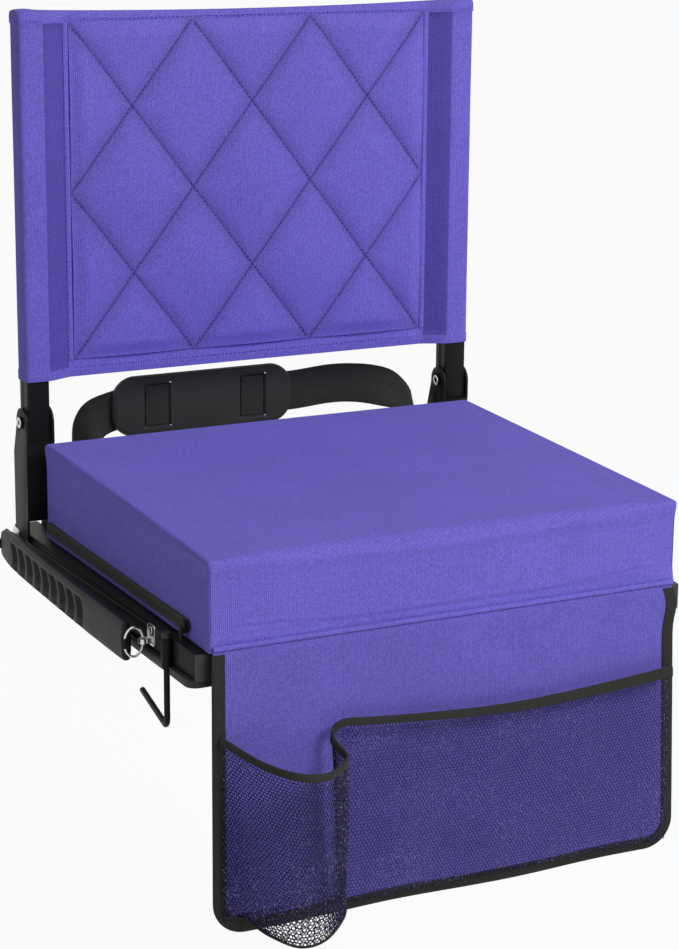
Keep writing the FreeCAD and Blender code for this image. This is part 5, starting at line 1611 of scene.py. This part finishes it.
def handle_hardware():
    """The grip's wire rings, and the screwed clips on the rail that hold them."""
    rings, heads = [], []
    for end, y, wide in zip(("front", "rear"), GRIP_ENDS, RING_WIDE):
        def wire(u, v, w, y=y, half=wide / 2):
            c, s = np.cos(np.pi * u), np.sin(np.pi * u)
            out = unit(np.stack([c / half, s / RING_TALL], axis=1)) * RING_WIRE * np.cos(np.pi * v)[:, None]
            x, z = RING_X - half + half * c, RING_Z + RING_TALL * s
            return x + out[:, 0], y + RING_WIRE * np.sin(np.pi * v), z + out[:, 1]

        rings.append(mould(start_grid("ring_" + end, 64, 12), wire))
        low, high = node_box("handle_clip_" + end)
        wall = high[0]
        face = wall - CLIP_THICK
        plate = start_block("clip_plate", (face, y - 7.5, low[2]), (wall, y + 7.5, high[2]))
        round_edges(plate, lambda a, b: abs(a[0] - b[0]) > 1, 3.0, 4)
        round_edges(plate, lambda a, b: max(a[0], b[0]) < face + 0.05, 0.5, 2)
        first, last = (RING_X + 3.1, y - 3, RING_Z - 2.5), (face + 0.5, y + 3, RING_Z + 2.5)
        neck = start_block("clip_neck", first, last)
        round_edges(neck, lambda a, b: abs(a[0] - b[0]) > 1, 0.8, 2)
        clip = join("ring_clip_" + end, [plate, neck, tube("clip_eye", *CLIP_EYE, (RING_X, y, RING_Z))])
        box_uv(clip)
        dress(clip, "plated_steel", "base", "bright_steel", "handle_clip_" + end)
        head = start_rod("clip_screw", 3.2, 2.0, (face + 0.55, y, high[2] - 5.0), "X", 28)
        round_edges(head, lambda a, b: max(a[0], b[0]) < face, 0.45, 3)
        heads.append(head)
    wires = join("grip_rings", rings)
    complete(wires, "plated_steel", "handle", "bright_steel", "handle_rings", smooth=60)
    screws = join("clip_screw_heads", heads)
    box_uv(screws)
    dress(screws, "plated_steel", "base", "bright_steel", "handle_screws")


# The frame.


def rivet_collars():
    """The bright rolled rims of the tubular rivets that the back turns on."""
    low, high = node_box("pivot_rivets")
    middle = (low + high) / 2
    radius, depth, bulge = RIM_SIZES
    rims = []
    for x in (low[0], high[0], -2 * POST_X - low[0], 2 * POST_X - high[0]):
        def roll(u, v, w, x=x):
            a, b = np.pi * u, np.pi * v
            far = radius + depth * np.cos(b)
            return x + bulge * np.sin(b), middle[1] + far * np.cos(a), middle[2] + far * np.sin(a)

        rims.append(mould(start_grid("rivet_rim", 40, 12), roll))
    obj = join("pivot_rivet_rims", rims)
    complete(obj, "plated_steel", "base", "bright_steel", smooth=60)


def slope_shoulders(bracket):
    """Run the rear shoulders of a bracket's cheeks up to its lugs in a slope."""
    co = spots(bracket) / MM
    shoulder = np.abs(co[:, 2] - SHOULDER_Z) < 0.6
    rear = co[:, 1].max()
    co[shoulder & (co[:, 1] > rear - 1.0), 2] = SHOULDER_Z - SHOULDER_RISE
    co[shoulder & (co[:, 1] > rear - 12.0) & (co[:, 1] < rear - 6.0), 2] = SHOULDER_Z + SHOULDER_RISE
    put(bracket, co * MM)


def round_ends(skid):
    """Round the four corners of a skid, seen from above."""
    round_edges(skid, lambda a, b: abs(a[2] - b[2]) > 4.0, SKID_CORNER, 5)


def frame_metal():
    """The frame's own forms with broken edges, each in its finish, and the plain nodes that only take one."""
    paint = ("powder_coat", "black_steel")
    plastic = ("moulded_plastic", "black_plastic")
    rubber = ("moulded_rubber", "black_rubber")
    bright = ("plated_steel", "bright_steel")
    jobs = [
        (("side_rail_left", "side_rail_right"), 1.6, paint),
        (("front_crossbar", "middle_crossbar", "rear_crossbar"), 1.6, paint),
        (("back_post_left", "back_post_right"), 1.8, paint),
        (("hinge_bracket_left", "hinge_bracket_right"), 0.6, paint),
        (("rail_end_caps", "strap_swivels"), 0.8, plastic),
        (("pivot_washers", "post_top_caps"), 0.2, plastic),
        (("skid_left", "skid_right"), 1.2, rubber),
        (("hook_cap_left", "hook_cap_right"), 1.0, rubber),
        (("bracket_rivets", "board_screws"), 0.4, bright),
        (("pivot_rivets",), 0.3, paint),
        (("strap_lugs", "hook_sleeves"), 0.4, paint),
    ]
    shapes = {
        "hinge_bracket_left": slope_shoulders, "hinge_bracket_right": slope_shoulders,
        "skid_left": round_ends, "skid_right": round_ends,
    }
    for names, width, (finish, slot) in jobs:
        for name in names:
            soften(name, width, finish, slot, shapes.get(name))
    soften("base_board", 0.8, "stained_board", "board")
    kept = {
        "bench_hook_left": "powder_coat", "bench_hook_right": "powder_coat", "back_brace": "powder_coat",
        "strap_rings": "plated_steel",
    }
    for name, finish in kept.items():
        mesh = frame["nodes"][name].data
        mesh.materials.clear()
        mesh.materials.append(bpy.data.materials[finish])


# Operators.


def settings(context):
    """The seat's sizes and colours."""
    return context.scene.seat_sizes, context.scene.seat_colours


class SEAT_OT_stage(bpy.types.Operator):
    """Set the camera, the lamps and the pale floor"""

    bl_idname = "seat.stage"
    bl_label = "Stage"

    def execute(self, context):
        context.scene.view_settings.view_transform = "Standard"
        studio_camera()
        pale_world()
        for name, (place, size, power) in LAMPS.items():
            soft_lamp(name, place, LAMP_TARGET, size, power)
        pale_floor()
        return {"FINISHED"}


class SEAT_OT_finishes(bpy.types.Operator):
    """Make the cloth, net, metal, rubber and board finishes"""

    bl_idname = "seat.finishes"
    bl_label = "Finishes"

    def execute(self, context):
        make_finishes(*settings(context))
        return {"FINISHED"}


class SEAT_OT_cushion(bpy.types.Operator):
    """Sew the seat cushion over its foam"""

    bl_idname = "seat.cushion"
    bl_label = "Cushion"

    def execute(self, context):
        seat_cushion(settings(context)[0])
        return {"FINISHED"}


class SEAT_OT_zipper(bpy.types.Operator):
    """Add the cushion's zipper, its slider and its pull"""

    bl_idname = "seat.zipper"
    bl_label = "Zipper"

    def execute(self, context):
        zipper(settings(context)[0])
        zipper_slider()
        return {"FINISHED"}


class SEAT_OT_back(bpy.types.Operator):
    """Stretch the back cover over its posts and quilt its panel"""

    bl_idname = "seat.back"
    bl_label = "Back"

    def execute(self, context):
        sizes = settings(context)[0]
        seam = back_sleeve()
        back_quilt(sizes)
        back_seams(sizes, seam)
        return {"FINISHED"}


class SEAT_OT_apron(bpy.types.Operator):
    """Hang the apron with its binding"""

    bl_idname = "seat.apron"
    bl_label = "Apron"

    def execute(self, context):
        apron(settings(context)[0])
        return {"FINISHED"}


class SEAT_OT_pockets(bpy.types.Operator):
    """Knit the pocket nets and bind their edge"""

    bl_idname = "seat.pockets"
    bl_label = "Pockets"

    def execute(self, context):
        sizes = settings(context)[0]
        wide_net(sizes)
        cup_net(sizes)
        pocket_tape(sizes)
        cup_seam()
        return {"FINISHED"}


class SEAT_OT_strap(bpy.types.Operator):
    """Run the shoulder strap's webbing and mould its pad"""

    bl_idname = "seat.strap"
    bl_label = "Strap"

    def execute(self, context):
        strap_belt()
        strap_pad()
        pad_webbing()
        pad_rivets()
        return {"FINISHED"}


class SEAT_OT_grip(bpy.types.Operator):
    """Mould the carry grip and hang it in its rings and clips"""

    bl_idname = "seat.grip"
    bl_label = "Grip"

    def execute(self, context):
        handle_grip()
        handle_hardware()
        return {"FINISHED"}


class SEAT_OT_frame(bpy.types.Operator):
    """Break the frame's edges and give it its paint, plating and rubber"""

    bl_idname = "seat.frame"
    bl_label = "Frame"

    def execute(self, context):
        frame_metal()
        rivet_collars()
        return {"FINISHED"}


ORDER = ("stage", "finishes", "cushion", "zipper", "back", "apron", "pockets", "strap", "grip", "frame")


class SEAT_PT_panel(bpy.types.Panel):
    """The seat's steps, sizes and colours"""

    bl_idname = "SEAT_PT_panel"
    bl_label = "Stadium Seat"
    bl_space_type = "VIEW_3D"
    bl_region_type = "UI"
    bl_category = "Seat"

    def draw(self, context):
        for step in ORDER:
            self.layout.operator("seat." + step)
        for group in settings(context):
            for key in group.__annotations__:
                self.layout.prop(group, key)


CLASSES = (
    SeatSizes, SeatColours, SEAT_OT_stage, SEAT_OT_finishes, SEAT_OT_cushion, SEAT_OT_zipper, SEAT_OT_back,
    SEAT_OT_apron, SEAT_OT_pockets, SEAT_OT_strap, SEAT_OT_grip, SEAT_OT_frame, SEAT_PT_panel,
)


def register():
    """Add the classes, and the scene's sizes and colours."""
    for made in CLASSES:
        bpy.utils.register_class(made)
    bpy.types.Scene.seat_sizes = bpy.props.PointerProperty(type=SeatSizes)
    bpy.types.Scene.seat_colours = bpy.props.PointerProperty(type=SeatColours)


def unregister():
    """Take the classes and the scene's sizes and colours away again."""
    del bpy.types.Scene.seat_colours
    del bpy.types.Scene.seat_sizes
    for made in reversed(CLASSES):
        bpy.utils.unregister_class(made)


def main():
    """Build the seat step by step."""
    register()
    for step in ORDER:
        getattr(bpy.ops.seat, step)()
    clear_selection()


if __name__ == "__main__":
    main()
